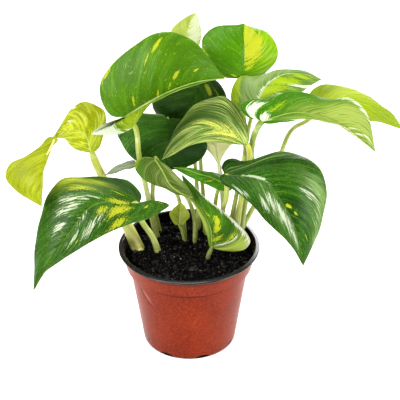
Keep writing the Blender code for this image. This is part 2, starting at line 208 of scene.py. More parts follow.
# Each blade lies round the line from its base to its tip: "left" and "right" hold
# how far the basal lobe reaches back, then the breadth at the base and each sixth;
# "lean" swings the two lobes outwards.
leafShapes = {
    "upper_left": {
        "base": (-48, 0, 210), "tip": (29, 14, 236), "face": (0, -0.92, 0.38),
        "left": (15, 40, 46, 50, 52, 49, 37), "right": (30, 10, -1, -3, -4, -4, -3),
        "lean": (0, -0.15), "bow": (4, 6, 5), "arch": 9, "lift": (-5, 27),
        "petiole": ((-43, 8, 197), (-41, 17, 166), (-37, 21, 138)), "foot": (-28, 21),
        "radii": (2.0, 2.6),
        "green": "#487703", "deep": "#375f02", "light": "#628e10", "under": "#9aa84a",
        "frost": "#8a9b1e", "white": "#c3c8b4",
        "lateralStrength": 0.11, "ribColor": "#c3cf84", "ribStrength": 0.85, "ribBroad": 1.5,
        "gloss": 0.14, "stalk": "#aebb4e", "stalkLow": "#c6cd84",
    },
    "upper_right": {
        "base": (43, 41, 226), "tip": (45, 64, 264), "face": (0.05, -0.93, 0.36),
        "left": (1, 16, 25, 30, 33, 33, 28), "right": (1, 12, 23, 28, 29, 27, 21),
        "bow": (-1, -1, 0), "arch": 5, "lift": (-5, -5),
        "petiole": ((42, 43, 211), (46, 40, 187), (48, 32, 154), (46, 26, 130)),
        "foot": (38, 25), "radii": (2.2, 2.8),
        "green": "#467b01", "deep": "#366901", "light": "#65930e", "under": "#8fa852",
        "frost": "#84ab12", "ribStrength": 0.0, "lateralStrength": 0.18,
    },
    "back": {
        "base": (-2, 52, 249), "tip": (6, 58, 275), "face": (-0.1, -0.95, 0.25),
        "left": (2, 13, 15, 15, 13, 10, 6), "right": (1, 8, 10, 10, 9, 7, 4),
        "bow": (2, 2, 2), "arch": 3, "lift": (-3, -3),
        "petiole": ((-2, 55, 226), (1, 53, 190), (5, 43, 148)), "foot": (8, 34),
        "radii": (1.5, 2.2),
        "green": "#98a646", "deep": "#818f34", "light": "#b9c26c", "under": "#a4b45c",
        "white": "#bcc2a0",
    },
    "shaded_upper": {
        "base": (14, 50, 223), "tip": (-16, 42, 178), "face": (0, -0.95, 0.30),
        "left": (2, 17, 27, 28, 25, 20, 14), "right": (1, 9, 15, 21, 26, 28, 24),
        "bow": (0, 0, -1), "arch": 5, "lift": (-4, -4),
        "petiole": ((12, 54, 206), (11, 49, 184), (10, 37, 152), (12, 29, 125)),
        "foot": (14, 27), "radii": (1.7, 2.2),
        "green": "#27480e", "deep": "#1a370a", "light": "#395f18", "under": "#4c6a34",
        "ribStrength": 0.0, "gloss": 0.15, "yellow": "#8f9a2a", "speck": "#4f6f26",
    },
    "shaded_lower": {
        "base": (-17, 32, 192), "tip": (-20, 21, 150), "face": (0, -0.97, 0.25),
        "left": (1, 17, 29, 33, 34, 31, 23), "right": (4, 36, 42, 42, 38, 33, 25),
        "bow": (1, 1, 0), "arch": 3, "lift": (-3, -3),
        "petiole": ((-21, 35, 174), (-27, 30, 155), (-31, 26, 130)), "foot": (-26, 30),
        "radii": (1.8, 2.2),
        "green": "#315c10", "deep": "#1a3a09", "light": "#4c7c26", "under": "#54703a",
        "fineStrength": 0.34, "ribStrength": 0.0, "gloss": 0.15, "frost": "#9aa06c",
        "speck": "#6d8a3c",
    },
    "striped": {
        "base": (47, 8, 181), "tip": (-22, 8, 167), "face": (-0.05, -0.90, 0.43),
        "left": (0, 0, -3, -6, -8, -7, -3), "right": (3, 26, 42, 42, 39, 30, 18),
        "bow": (-16, -19, -12), "arch": 8, "lift": (1, -5),
        "petiole": ((50, 13, 170), (50, 16, 159), (45, 13, 135)), "foot": (38, 8),
        "radii": (2.2, 2.4),
        "green": "#4c7420", "deep": "#37561e", "light": "#93a84c", "under": "#aebd6a",
        "curl": 0.6, "stripes": 0.8, "stripeColor": "#c6d074", "yellow": "#c9c94e",
        "stalk": "#c6c83c", "stalkLow": "#c9cf7e",
    },
    "cream": {
        "base": (25, 30, 153), "tip": (22, 41, 182), "face": (0, -0.93, 0.30),
        "left": (0, 1, 4, 8, 12, 13, 11), "right": (0, 1, 4, 9, 14, 15, 12),
        "bow": (1, 1, 0), "arch": 0, "lift": (-2, -2),
        "petiole": ((26, 30, 144), (28, 26, 128)), "foot": (28, 22), "radii": (2.0, 2.0),
        "green": "#f4efb9", "deep": "#e8e19c", "light": "#faf6d6", "under": "#ece6b4",
        "stalk": "#e0e2b0", "stalkLow": "#dcdfb4",
    },
    "right_upper": {
        "base": (54, 23, 206), "tip": (108, 32, 228), "face": (-0.10, -0.90, 0.43),
        "left": (15, 29, 25, 23, 21, 17, 11), "right": (0, 1, 1, 1, 3, 3, 1),
        "bow": (13, 16, 11), "arch": 5, "lift": (-3, -1),
        "petiole": ((51, 27, 195), (49, 27, 182), (46, 24, 161), (41, 20, 133)),
        "foot": (33, 19), "radii": (1.7, 2.2),
        "green": "#638426", "deep": "#43691a", "light": "#8ba33e", "under": "#aab864",
        "yellow": "#92aa0a", "white": "#cdd6bc", "stripes": 0.2, "stripeColor": "#a8bc84",
        "frost": "#7c9156", "ribColor": "#c5cfa6", "gloss": 0.15,
    },
    "right": {
        "base": (59, 5, 203), "tip": (150, -4, 180), "face": (0.05, -0.85, 0.52),
        "left": (20, 19, 29, 31, 31, 36, 28), "right": (1, 1, -3, -9, -11, -11, -6),
        "bow": (13, 15, 9), "arch": 8, "lift": (-4, 3),
        "petiole": ((55, 11, 193), (52, 19, 174), (52, 21, 150), (48, 18, 125)),
        "foot": (42, 15), "radii": (2.6, 2.6),
        "green": "#347000", "deep": "#285c00", "light": "#52860a", "under": "#a8b65c",
        "gloss": 0.08, "frost": "#97a54a", "yellow": "#8fae14", "white": "#dbe2c4",
        "stalk": "#728f2c", "stalkLow": "#bcc874",
    },
    "far_right": {
        "base": (105, 38, 194), "tip": (180, 38, 180), "face": (0.10, -0.85, 0.52),
        "left": (8, 25, 28, 26, 23, 18, 12), "right": (1, 2, 4, 3, 0, -2, -1),
        "bow": (14, 14, 9), "arch": 8, "lift": (-4, -2),
        "petiole": ((98, 38, 188), (88, 36, 183), (76, 31, 158), (62, 25, 128)),
        "foot": (42, 21), "radii": (1.8, 2.2),
        "green": "#8ba00c", "deep": "#768e06", "light": "#a3b044", "under": "#a4b448",
    },
    "olive": {
        "base": (-27, 5, 169), "tip": (4, -7, 140), "face": (0.08, 0.945, -0.32),
        "left": (10, 19, 18, 15, 11, 9, 5), "right": (1, 1, 3, 4, 4, 4, 3),
        "lean": (0.35, 0), "bow": (2, 5, 4), "arch": -4, "lift": (1, 1),
        "petiole": ((-27, 10, 168), (-24, 15, 159), (-12, 15, 143), (0, 14, 125), (5, 14, 105)),
        "foot": (5, 15), "radii": (1.6, 2.2), "stalkSide": -1,
        "green": "#4c8010", "deep": "#3a6a10", "light": "#6f9a30", "under": "#475e15",
        "underDeep": "#2f450a", "vein": "#8a9a4c", "lateralStrength": 0.42,
        "fineStrength": 0.22, "frost": "#7c8b4a", "ribStrength": 0.45, "ribBroad": 0.7,
    },
    "front": {
        "base": (19, -14, 97), "tip": (-6, 10, 153), "face": (-0.28, -0.92, 0.27),
        "left": (1, 1, -1, -2, -2, 0, 1), "right": (11, 32, 28, 22, 16, 10, 5),
        "lean": (0, 0.6), "bow": (-6, -5, -2), "arch": 2, "lift": (2, -4),
        "petiole": ((17, -13, 90),), "foot": (15, -12), "radii": (1.8, 2.2),
        "green": "#3d6a0c", "deep": "#254c06", "light": "#618c22", "under": "#a6b85a",
        "frost": "#98a946", "white": "#d3d0bf", "yellow": "#b3ba22", "stalk": "#7d9440",
        "stalkLow": "#8b9a50",
    },
    "front_right": {
        "base": (30, -4, 160), "tip": (93, -41, 96), "face": (0.12, -0.80, 0.59),
        "left": (9, 19, 50, 61, 62, 54, 35), "right": (2, 6, 3, 1, 1, -1, -2),
        "bow": (19, 18, 12), "arch": 10, "lift": (-8, -4),
        "petiole": ((31, -4, 149), (31, -4, 139), (29, 3, 126)), "foot": (24, 13),
        "radii": (2.0, 2.2),
        "green": "#245602", "deep": "#102f01", "light": "#3c6c0e", "under": "#8aa24e",
        "frost": "#71904a", "white": "#b4bda2", "ribColor": "#6f8a40", "ribStrength": 0.25,
        "ribBroad": 0.8, "gloss": 0.13, "roughness": 0.26, "lateralGap": 5.0,
        "lateralStrength": 0.32, "vein": "#5f8a34", "speckle": 0.28,
    },
    "narrow": {
        "base": (27, 8, 146), "tip": (-13, 16, 156), "face": (0.10, -0.40, 0.90),
        "left": (10, 7, 7, 7, 6, 5, 3), "right": (7, 9, 8, 6, 5, 4, 3),
        "bow": (0, 1, 0), "arch": 3, "lift": (-2, -2),
        "petiole": ((24, 11, 136), (22, 15, 118)), "foot": (20, 18), "radii": (1.6, 2.2),
        "green": "#437d12", "deep": "#2f640c", "light": "#68a028", "under": "#8aa24e",
    },
    "front_left": {
        "base": (-41, -9, 136), "tip": (-127, -45, 74), "face": (-0.12, -0.78, 0.62),
        "left": (18, 15, 8, 3, 0, -3, -5), "right": (7, 28, 46, 57, 53, 40, 22),
        "lean": (1, 0), "bow": (-21, -16, -8), "arch": 10, "lift": (-5, -8),
        "petiole": ((-42, -5, 125), (-38, -3, 113), (-31, -2, 100)), "foot": (-26, -2),
        "radii": (2.2, 2.8),
        "green": "#305e06", "deep": "#173a02", "light": "#4c771a", "under": "#8aa24e",
        "white": "#c4ceac", "frost": "#8f9a26", "ribColor": "#8fae48", "ribStrength": 0.2,
        "gloss": 0.2, "roughness": 0.28,
    },
    "far_left": {
        "base": (-80, 14, 171), "tip": (-114, 21, 178), "face": (-0.10, -0.88, 0.46),
        "left": (0, 0, 1, 1, -1, -5, -4), "right": (6, 36, 38, 39, 38, 32, 19),
        "bow": (-13, -14, -9), "arch": 4, "lift": (-2, -4),
        "petiole": ((-77, 18, 159), (-73, 19, 147), (-62, 15, 123)), "foot": (-44, 5),
        "radii": (3.2, 5.6),
        "green": "#a0aa0a", "deep": "#757f04", "light": "#b9bd2e", "under": "#a8b434",
        "vein": "#76860e", "lateralStrength": 0.5, "stripes": 0.4, "stripeColor": "#cbd04c",
        "stalk": "#96a02c", "stalkLow": "#f6ee92", "stalkLines": 0.25,
        "second": {
            "base": (-109, 16, 183), "tip": (-119, -16, 137), "face": (-0.10, -0.88, 0.46),
            "left": (0, 2, -1, -2, -3, -2, -1), "right": (1, 6, 11, 21, 33, 35, 24),
            "bow": (-3, -4, -3), "arch": 3, "lift": (0, -2),
        },
    },
    "thin": {
        "base": (-43, 10, 162), "tip": (-70, 8, 152), "face": (0, -0.95, 0.30),
        "left": (0, 1, 2, 1, 1, 1, 0), "right": (0, 3, 5, 5, 5, 4, 2),
        "bow": (-1, -2, -1), "arch": 1, "lift": (-1, -1),
        "petiole": ((-33, 12, 156), (-21, 12, 145), (-11, 13, 134), (-7, 14, 120)),
        "foot": (-4, 17), "radii": (1.4, 2.2),
        "green": "#767e68", "deep": "#667058", "light": "#8f9882", "under": "#8a9474",
    },
    "bud": {
        "base": (-8, 8, 106), "tip": (-7, 6, 129), "face": (0.05, -0.97, 0.20),
        "left": (0, 3, 6, 8, 9, 7, 4), "right": (0, 2, 5, 8, 8, 6, 4),
        "bow": (0, 0, 0), "arch": -2, "lift": (3, 3),
        "petiole": ((-6, 10, 98),), "foot": (-3, 11), "radii": (1.5, 1.8),
        "green": "#a9b832", "deep": "#84951e", "light": "#c4cd66", "under": "#b4c05c",
        "edge": "#e0e4b8", "edgeStrength": 0.8, "ribColor": "#dfe0a8", "ribStrength": 0.8,
        "ribBroad": 0.9,
    },
}

# Markings of each leaf by kind: row along the leaf, place across it, then half its length
# along the veins and half its breadth in millimetres, and its strength. A marking ends
# at the midrib. Yellow and white marks are the variegation, though a few white ones are
# painted highlights; the dark marks are painted shade, in places also the leaf's own
# darker green, and the soft pale marks are a painted sheen.
leafMarks = {
    "upper_left": {
        "yellow": [(0.52, 0.68, 7, 0.6, 0.9), (0.58, 0.8, 5, 1.3, 1.1), (0.67, 0.24, 4, 1.3, 1.05),
            (0.8, 0.33, 3, 1.0, 1.05), (0.33, 0.2, 9, 0.9, 0.9), (0.3, 0.98, 3, 4, 0.8),
            (0.62, 0.1, 3, 0.7, 0.9), (0.52, 0.05, 4, 0.8, 0.8)],
        "white": [(0.16, -0.7, 40, 11, 1.5)],
        "dark": [(0.8, 0.75, 18, 9, 0.9), (0.7, 0.4, 12, 8, 0.8)],
        "frost": [(0.4, -0.7, 40, 12, 1.4)],
    },
    "upper_right": {
        "yellow": [(0.84, -0.3, 14, 9, 1.2), (0.62, -0.28, 14, 7, 1.1), (0.48, -0.3, 12, 4, 0.78),
            (0.35, -0.22, 7, 3, 0.7), (0.24, 0.95, 7, 5, 0.72), (0.46, 0.98, 4, 4, 0.7),
            (0.2, 0.34, 4.5, 1.0, 1.1)],
        "dark": [(0.4, 0.45, 14, 10, 0.5)],
        "frost": [(0.6, -0.85, 14, 16, 1.2)],
    },
    "back": {
        "white": [(0.72, -0.6, 12, 12, 1.0), (0.45, -0.6, 10, 8, 0.9)],
        "dark": [(0.6, -0.55, 9, 2.0, 0.5), (0.85, 0.5, 6, 3, 0.6)],
    },
    "shaded_upper": {
        "yellow": [(0.33, 0.3, 5, 2.4, 1.0), (0.3, 0.6, 4, 1.2, 0.6)],
    },
    "shaded_lower": {
        "dark": [(0.62, 0.6, 24, 14, 2.0), (0.4, 0.85, 16, 10, 1.6)],
        "frost": [(0.16, -0.95, 9, 2.4, 1.0)],
    },
    "striped": {
        "yellow": [(0.36, 0.1, 18, 7, 0.74), (0.5, -0.1, 16, 5, 0.66), (0.26, 0.45, 12, 6, 0.74)],
        "dark": [(0.74, -0.75, 24, 9, 1.6), (0.86, -0.2, 15, 8, 1.4)],
    },
    "cream": {
        "yellow": [(0.7, 0.2, 8, 6, 0.5)],
    },
    "right_upper": {
        "yellow": [(0.3, 0.92, 9, 8, 0.9), (0.44, -0.26, 13, 8, 0.95), (0.62, -0.28, 13, 7, 0.95),
            (0.8, -0.2, 11, 5, 0.8)],
        "white": [(0.5, 0.05, 2, 20, 0.65), (0.6, 0.9, 8, 3, 0.7), (0.55, -0.95, 14, 3.0, 1.0),
            (0.75, -0.88, 12, 2.4, 1.0), (0.42, -1.0, 8, 2.4, 0.9)],
        "dark": [(0.36, 0.45, 9, 5, 0.6)],
        "frost": [(0.45, 0.5, 16, 14, 1.3)],
    },
    "right": {
        "yellow": [(0.3, 0.4, 11, 8, 0.62)],
        "white": [(0.14, 0.55, 12, 8, 1.1), (0.2, 0.08, 10, 5, 1.0), (0.32, -0.95, 10, 4, 0.8),
            (0.88, 0.3, 14, 6, 0.55), (0.74, 0.98, 5, 14, 0.75), (0.7, -0.97, 4, 22, 0.8)],
        "frost": [(0.8, 0.4, 34, 24, 1.6), (0.72, -0.6, 20, 18, 1.5), (0.45, -0.75, 16, 12, 1.2)],
    },
    "far_right": {
        "dark": [(0.75, -0.2, 14, 7, 0.4)],
        "frost": [(0.45, 0.55, 16, 14, 0.8)],
    },
    "olive": {
        "yellow": [(0.15, 0.98, 4.0, 7, 0.9)],
        "dark": [(0.3, 0.96, 7, 9, 0.85)],
        "frost": [(0.45, -0.7, 4, 14, 1.3), (0.7, 0.3, 6, 9, 0.7)],
    },
    "front": {
        "yellow": [(0.52, -0.42, 6, 3.4, 1.0), (0.44, -0.26, 6, 3.0, 1.0),
            (0.32, -0.16, 8, 4.0, 0.7), (0.6, -0.2, 4, 5, 0.6), (0.34, -0.55, 9, 2.2, 0.62)],
        # the two white marks on the edge are a painted highlight, partly the margin's own whitish
        # band
        "white": [(0.5, -1.05, 6, 15, 1.25), (0.8, -1.05, 6, 17, 1.3),
            (0.27, -0.38, 15, 0.9, 0.95)],
        "dark": [(0.42, -0.62, 12, 3.5, 1.2)],
        "frost": [(0.2, -0.72, 24, 7, 2.6), (0.45, 0.8, 16, 22, 1.6)],
    },
    "front_right": {
        "yellow": [(0.67, 0.08, 3.5, 1.4, 1.0), (0.72, 0.16, 3.0, 1.0, 0.9),
            (0.85, 0.36, 6, 0.8, 0.85)],
        # the white mark on the midrib and the two near the base on the near edge are painted
        # highlights
        "white": [(0.55, -0.38, 15, 6, 0.8), (0.68, -0.36, 16, 9, 0.88), (0.8, -0.34, 14, 9, 0.86),
            (0.5, -0.62, 9, 5, 0.76), (0.27, -0.8, 9, 4.5, 1.0), (0.34, -0.74, 6, 3.5, 0.8),
            (0.66, 0.66, 14, 7, 0.55), (0.76, 0.7, 12, 5, 0.58), (0.4, 0.02, 2.4, 9, 1.2)],
        "dark": [(0.04, 0.85, 18, 12, 3.0), (0.16, 0.62, 26, 2.2, 1.3), (0.24, 0.6, 30, 1.8, 1.2),
            (0.36, 0.5, 26, 2.4, 0.9), (0.66, 0.22, 14, 5, 0.9)],
        "frost": [(0.62, -0.4, 20, 16, 0.7), (0.78, -0.4, 18, 12, 0.9), (0.66, 0.82, 15, 10, 1.3),
            (0.8, 0.86, 15, 11, 1.3), (0.2, 0.62, 28, 1.6, 0.9), (0.29, 0.62, 30, 2.0, 0.9),
            (0.3, 0.98, 6, 16, 0.7)],
    },
    "narrow": {
        "yellow": [(0.45, 0.5, 4, 1.0, 0.8)],
        "dark": [(0.25, -0.6, 8, 7, 0.6)],
    },
    "front_left": {
        "yellow": [(0.31, 0.02, 9, 8, 0.95), (0.37, 0.4, 14, 9, 0.86), (0.45, 0.26, 9, 6, 0.74),
            (0.43, 0.84, 10, 7, 0.76), (0.72, 0.35, 2.5, 1.2, 0.9), (0.66, 0.62, 2.5, 1.0, 0.9),
            (0.21, 0.46, 5, 2.2, 0.95), (0.14, 0.75, 4, 1.8, 0.8), (0.41, -0.88, 9, 4, 0.55),
            (0.43, -0.55, 9, 5, 0.62), (0.25, -0.3, 9, 0.8, 0.85)],
        "white": [(0.49, -0.4, 16, 5, 0.68), (0.57, -0.38, 14, 5, 0.66), (0.66, -0.3, 12, 5, 0.6),
            (0.58, 0.12, 9, 6, 0.5), (0.56, 0.56, 15, 9, 0.6), (0.66, 0.4, 12, 6, 0.58)],
        "dark": [(0.17, -0.62, 22, 10, 1.8)],
        "frost": [(0.36, -0.8, 11, 6.5, 1.7), (0.46, -0.92, 8, 6, 1.5), (0.42, -0.6, 9, 4, 1.0)],
    },
    "far_left": {
        "white": [(0.66, -0.95, 5, 1.4, 0.8), (0.7, -0.42, 6, 1.2, 0.8)],
        "dark": [(0.55, -0.95, 9, 4, 0.6), (0.3, 0.8, 12, 6, 0.4)],
    },
    "far_left_second": {
        "dark": [(0.5, -0.5, 40, 40, 0.55), (0.7, -0.9, 12, 5, 0.8), (0.4, -0.35, 20, 2.5, 1.0),
            (0.62, -0.5, 16, 2.0, 1.0)],
    },
    "bud": {
        "dark": [(0.5, 0.5, 5, 2.4, 0.7)],
        "frost": [(0.5, -0.4, 7, 3, 0.8)],
    },
}

# Each kind becomes a value kept on the blade's points, which the leaf's skin reads
markKinds = ("yellow", "white", "dark", "frost")

# Blade: an upper face with a furrow along the midrib and puckered laterals, a lower
# face where the ribs stand proud, and a thin margin. "lobe" gives the points of a basal
# lobe: how far back, its breadth, and the breadth that "lean" adds. A "Power" says how
# quickly its part changes across or along the blade.
bladeMake = {
    "rows": 132, "columns": 64, "smallRows": 64, "smallColumns": 36, "smallBelow": 16,
    "crowding": 1.25, "lobeRows": 0.16,
    "lobe": ((0.75, 0.10, 0.43), (1, 0.40, 0.75), (0.70, 0.78, 0.35)),
    "thickness": 0.62, "edge": 0.16, "swell": 2.0, "fullBreadth": 30, "leastBreadth": 0.25,
    "furrowDepth": 0.34, "furrowWidth": 0.85, "ribHeight": 0.75, "ribWidth": 0.95,
    "pucker": 0.42, "puckerLevel": 0.6, "puckerPower": 0.7, "puckerFrom": 4.0,
    "waveHeight": 0.7, "waves": 22, "frill": 0.55, "frillWaves": (5.5, 2.3), "frillPower": 4,
    "curl": 0.26, "curlPower": 1.3, "liftPower": 1.6, "endPower": 0.6, "marginPower": 6,
    "tipThinning": 6, "tipThickness": 0.25, "fullRelief": 20, "leastRelief": 0.3,
}


def leafFrame(leaf):
    base, tip, face = (np.array(leaf[k], float) for k in ("base", "tip", "face"))
    along = tip - base
    length = np.linalg.norm(along)
    along /= length
    above = face - face.dot(along) * along
    above /= np.linalg.norm(above)
    return base, length, along, np.cross(above, along), above


def halfOutline(half, length, lean):
    lobe, breadths = half[0], half[1:]
    margin = [(0, 0)]
    margin += [(-back * lobe, (wide + more * lean) * breadths[0])
               for back, wide, more in bladeMake["lobe"]]
    margin += [(length * i / 6, breadth) for i, breadth in enumerate(breadths)]
    return margin + [(length, 0)]


def bladeSurface(leaf, rows, across):
    # the middle surface of a blade on a grid, with each point's distance from the midrib
    base, length, along, left, above = leafFrame(leaf)
    lobeRows = bladeMake["lobeRows"]
    reach = np.clip((rows - lobeRows) / (1 - lobeRows), 0, 1) ** bladeMake["crowding"]
    bows = [(length * (i + 1) / 4, bow) for i, bow in enumerate(leaf["bow"])]
    middle = smoothPath([(0, 0)] + bows + [(length, 0)], reach)
    envelope = np.sin(math.pi * np.clip(rows, 0.0001, 0.9999)) ** bladeMake["endPower"]
    envelope[(rows <= 0) | (rows >= 1)] = 0
    points = np.zeros((len(rows), len(across), 3))
    fromRib = np.zeros((len(rows), len(across)))
    for column, place in enumerate(across):
        side = 1 if place >= 0 else -1
        number = 0 if side > 0 else 1
        half = leaf[("left", "right")[number]]
        margin = smoothPath(halfOutline(half, length, leaf.get("lean", (0, 0))[number]), rows)
        margin[:, 1] *= side
        v = abs(place)
        spot = middle + (margin - middle) * v
        ahead = np.clip(spot[:, 0] / length, 0, 1)
        broad = min(max(max(half) / bladeMake["fullBreadth"], bladeMake["leastBreadth"]), 1)
        wave = bladeMake["waveHeight"] * np.sin(bladeMake["waves"] * rows + 2 * side)
        lift = leaf["lift"][number] * v ** bladeMake["liftPower"]
        swell = bladeMake["swell"] * 4 * v * (1 - v)
        height = leaf["arch"] * 4 * ahead * (1 - ahead) + envelope * (
            lift + broad * (swell + wave * v * v))
        points[:, column] = (base + spot[:, :1] * along + spot[:, 1:2] * left
                             + height[:, None] * above)
        fromRib[:, column] = np.linalg.norm(margin - middle, axis=1) * v
    return points, fromRib


def bladePoint(leaf, row):
    # a point of the midrib
    return bladeSurface(leaf, np.array([row]), np.array([0.0]))[0][0, 0]


def gridNormals(points, above):
    normals = np.cross(np.gradient(points, axis=0), np.gradient(points, axis=1))
    sizes = np.linalg.norm(normals, axis=2, keepdims=True)
    normals = np.where(sizes > 1e-9, normals / np.maximum(sizes, 1e-9), above)
    flips = np.sign(np.sum(normals * above, axis=2, keepdims=True))
    normals *= np.where(flips == 0, 1, flips)
    normals[0], normals[-1] = normals[1].mean(axis=0), normals[-2].mean(axis=0)
    for end in (0, -1):
        normals[end] /= np.linalg.norm(normals[end], axis=-1, keepdims=True)
    return normals


def markField(marks, curl, run, out, length, breadth):
    # how strongly each point carries one kind of marking, from soft spots along the veins
    field = np.zeros_like(run)
    for row, side, longHalf, wideHalf, strength in marks:
        center = (row - curl * abs(side) ** bladeMake["curlPower"]) * length
        spot = ((run - center) / wideHalf) ** 2 + ((out - side * breadth) / longHalf) ** 2
        half = np.clip(out * np.sign(side) + 0.6, 0, 1) if abs(side) > 0.15 else 1.0
        field = np.maximum(field, strength * np.exp(-spot) * half)
    return field


def bladeFaces(rowCount, wide):
    # upper and lower faces of two grids of points, joined along the margin
    count = rowCount * wide
    faces = []
    for r in range(rowCount - 1):
        for a in range(r * wide, r * wide + wide - 1):
            faces.append((a, a + 1, a + wide + 1, a + wide))
            faces.append((count + a, count + a + wide, count + a + wide + 1, count + a + 1))
        for a in (r * wide, r * wide + wide - 1):
            faces.append((a, a + wide, count + a + wide, count + a))
    for r in (0, rowCount - 1):
        for a in range(r * wide, r * wide + wide - 1):
            faces.append((a, count + a, count + a + 1, a + 1))
    return faces


def bladePart(leaf, marks):
    # a closed blade: its two faces have their own relief
    make = bladeMake
    _, length, _, _, above = leafFrame(leaf)
    breadth = max(*leaf["left"], *leaf["right"])
    counts = ("rows", "columns") if breadth > make["smallBelow"] else ("smallRows", "smallColumns")
    rows = np.linspace(0, 1, make[counts[0]])
    spread = np.linspace(-1, 1, make[counts[1]] + 1)
    across = np.sign(spread) * np.abs(spread) ** make["crowding"]
    points, fromRib = bladeSurface(leaf, rows, across)
    normals = gridNormals(points, above)
    rowAt = np.repeat(rows[:, None], len(across), axis=1)
    acrossAt = np.repeat(across[None, :], len(rows), axis=0)
    edgeAt = np.abs(acrossAt)
    curl = leaf.get("curl", make["curl"])
    run = (rowAt - curl * edgeAt ** make["curlPower"]) * length
    out = acrossAt * breadth
    fade = np.clip(1 - edgeAt ** make["marginPower"], 0, 1)
    thin = np.clip((1 - rowAt) * make["tipThinning"], make["tipThickness"], 1)
    size = np.clip(fromRib.max() / make["fullRelief"], make["leastRelief"], 1)
    slow, quick = (np.sin(run / wave + (i + 1) * leaf["seed"])
                   for i, wave in enumerate(make["frillWaves"]))
    frill = edgeAt ** make["frillPower"] * np.sin(math.pi * rowAt) ** 0.5 * make["frill"] * size
    points = points + normals * (frill * (slow + 0.5 * quick))[:, :, None]
    furrow, ridge = (np.exp(-(fromRib / make[k]) ** 2) for k in ("furrowWidth", "ribWidth"))
    gap = leaf.get("lateralGap", leafLook["lateralGap"])
    ripple = make["puckerLevel"] - np.abs(np.sin(math.pi * run / gap)) ** make["puckerPower"]
    pucker = make["pucker"] * ripple * np.clip(fromRib / make["puckerFrom"], 0, 1) * fade * size
    edge = make["edge"] / 2
    body = edge + (make["thickness"] / 2 - edge) * fade * thin
    top = body - make["furrowDepth"] * furrow * thin * size - pucker
    bottom = body + make["ribHeight"] * ridge * thin * size + pucker
    upper = points + normals * top[:, :, None]
    lower = points - normals * np.maximum(bottom, 0.05)[:, :, None]
    values = {"veinRun": run, "veinOut": out, "fromRib": fromRib, "rowAt": rowAt, "edgeAt": edgeAt}
    for kind in markKinds:
        values[kind] = markField(marks.get(kind, []), curl, run, out, length, breadth)
    values = {key: np.tile(v.ravel(), 2) for key, v in values.items()}
    values["under"] = np.repeat([0.0, 1.0], rowAt.size)
    return {"points": np.concatenate([upper.reshape(-1, 3), lower.reshape(-1, 3)]),
            "faces": bladeFaces(*rowAt.shape), "values": values, "slot": 0}


# Leaf stalk: round and fleshy, with a channel on its upper side and a sheath at the foot,
# yellow-green, paler towards the soil, with brown scars of old sheaths close to it.
# "girth" gives the fractions of the way down at which the stalk changes its thickness,
# and the two counts of lines are those round it and those that follow down it.
stalkMake = {
    "samples": 64, "sides": 20, "channel": 0.22, "soilTop": 82.5, "buried": 66.0,
    "girth": (0, 0.07, 0.6, 0.88, 1), "neck": 0.45, "sheath": 1.12,
    "fold": (1.2, 0.9), "foldSamples": 30,
    "stalk": "#a9b64c", "stalkLow": "#bdc476", "line": "#7b8c34", "stalkLines": 0.72,
    "patch": "#dfe2b4", "patches": 0.45, "scar": "#57431f", "scars": 0.55,
    "scarsFrom": 96, "scarsTo": 88, "linesRound": 14.0, "linesDown": 3.0, "patchSize": 11.11,
    "relief": 0.3, "reliefStrength": 0.25, "stalkRoughness": 0.4, "stalkGloss": 0.35,
    "through": 0.12, "ior": 1.42, "glowReach": 2.0, "glowColor": (0.8, 1.0, 0.4),
}


def stalkTree():
    # a round stalk with a shallow channel, swept along a line of points
    tree, asked, add = newTree("sweptStalk", {"Sides": "Int", "Channel": "Float"})
    line = add("GeometryNodeMeshToCurve", {"Mesh": asked["Geometry"]})
    girth = add("GeometryNodeInputNamedAttribute", {"Name": "girth"}, data_type="FLOAT")
    line = add("GeometryNodeSetCurveRadius", {"Curve": line, "Radius": girth})
    ring = add("GeometryNodeCurvePrimitiveCircle", {"Resolution": asked["Sides"], "Radius": 1.0})
    turn = add("GeometryNodeSplineParameter")
    line, ring = (
        add("GeometryNodeStoreNamedAttribute", {"Geometry": curve, "Name": key, "Value": turn},
            data_type="FLOAT", domain="POINT")
        for curve, key in ((line, "alongStalk"), (ring, "roundStalk")))
    # the channel: the ring is drawn in where it turns up
    lobe = add("Math", {0: turn, 1: 2 * math.pi}, operation="MULTIPLY")
    lobe = add("Math", {0: lobe}, operation="COSINE")
    for operation, value in (("MAXIMUM", 0.0), ("POWER", 6.0), ("MULTIPLY", asked["Channel"])):
        lobe = add("Math", {0: lobe, 1: value}, operation=operation)
    scale = add("Math", {0: 1.0, 1: lobe}, operation="SUBTRACT")
    spot = add("VectorMath", {0: add("GeometryNodeInputPosition"), "Scale": scale},
               operation="SCALE")
    ring = add("GeometryNodeSetPosition", {"Geometry": ring, "Position": spot})
    swept = add("GeometryNodeCurveToMesh",
                {"Curve": line, "Profile Curve": ring, "Scale": girth, "Fill Caps": True})
    return endTree(tree, swept, asked["Material"])


def sweepLine(points, girths, tree, material):
    # a swept stalk through the points, as a part in millimetres
    mesh = bpy.data.meshes.new("stalkLine")
    mesh.from_pydata([tuple(p * mm) for p in points],
                     [(i, i + 1) for i in range(len(points) - 1)], [])
    pointValues(mesh, "girth", np.asarray(girths, np.float32) * mm)
    line = addObject("stalkLine", mesh)
    grown = runTree(line, tree, {"Sides": stalkMake["sides"], "Channel": stalkMake["channel"],
                                 "Material": material})
    values = {}
    for key in ("alongStalk", "roundStalk"):
        values[key] = np.zeros(len(grown.vertices), np.float32)
        grown.attributes[key].data.foreach_get("value", values[key])
    part = {"points": np.array([v.co for v in grown.vertices]) / mm, "values": values,
            "faces": [tuple(p.vertices) for p in grown.polygons], "slot": 1}
    bpy.data.objects.remove(line)
    bpy.data.meshes.remove(mesh)
    bpy.data.meshes.remove(grown)
    return part


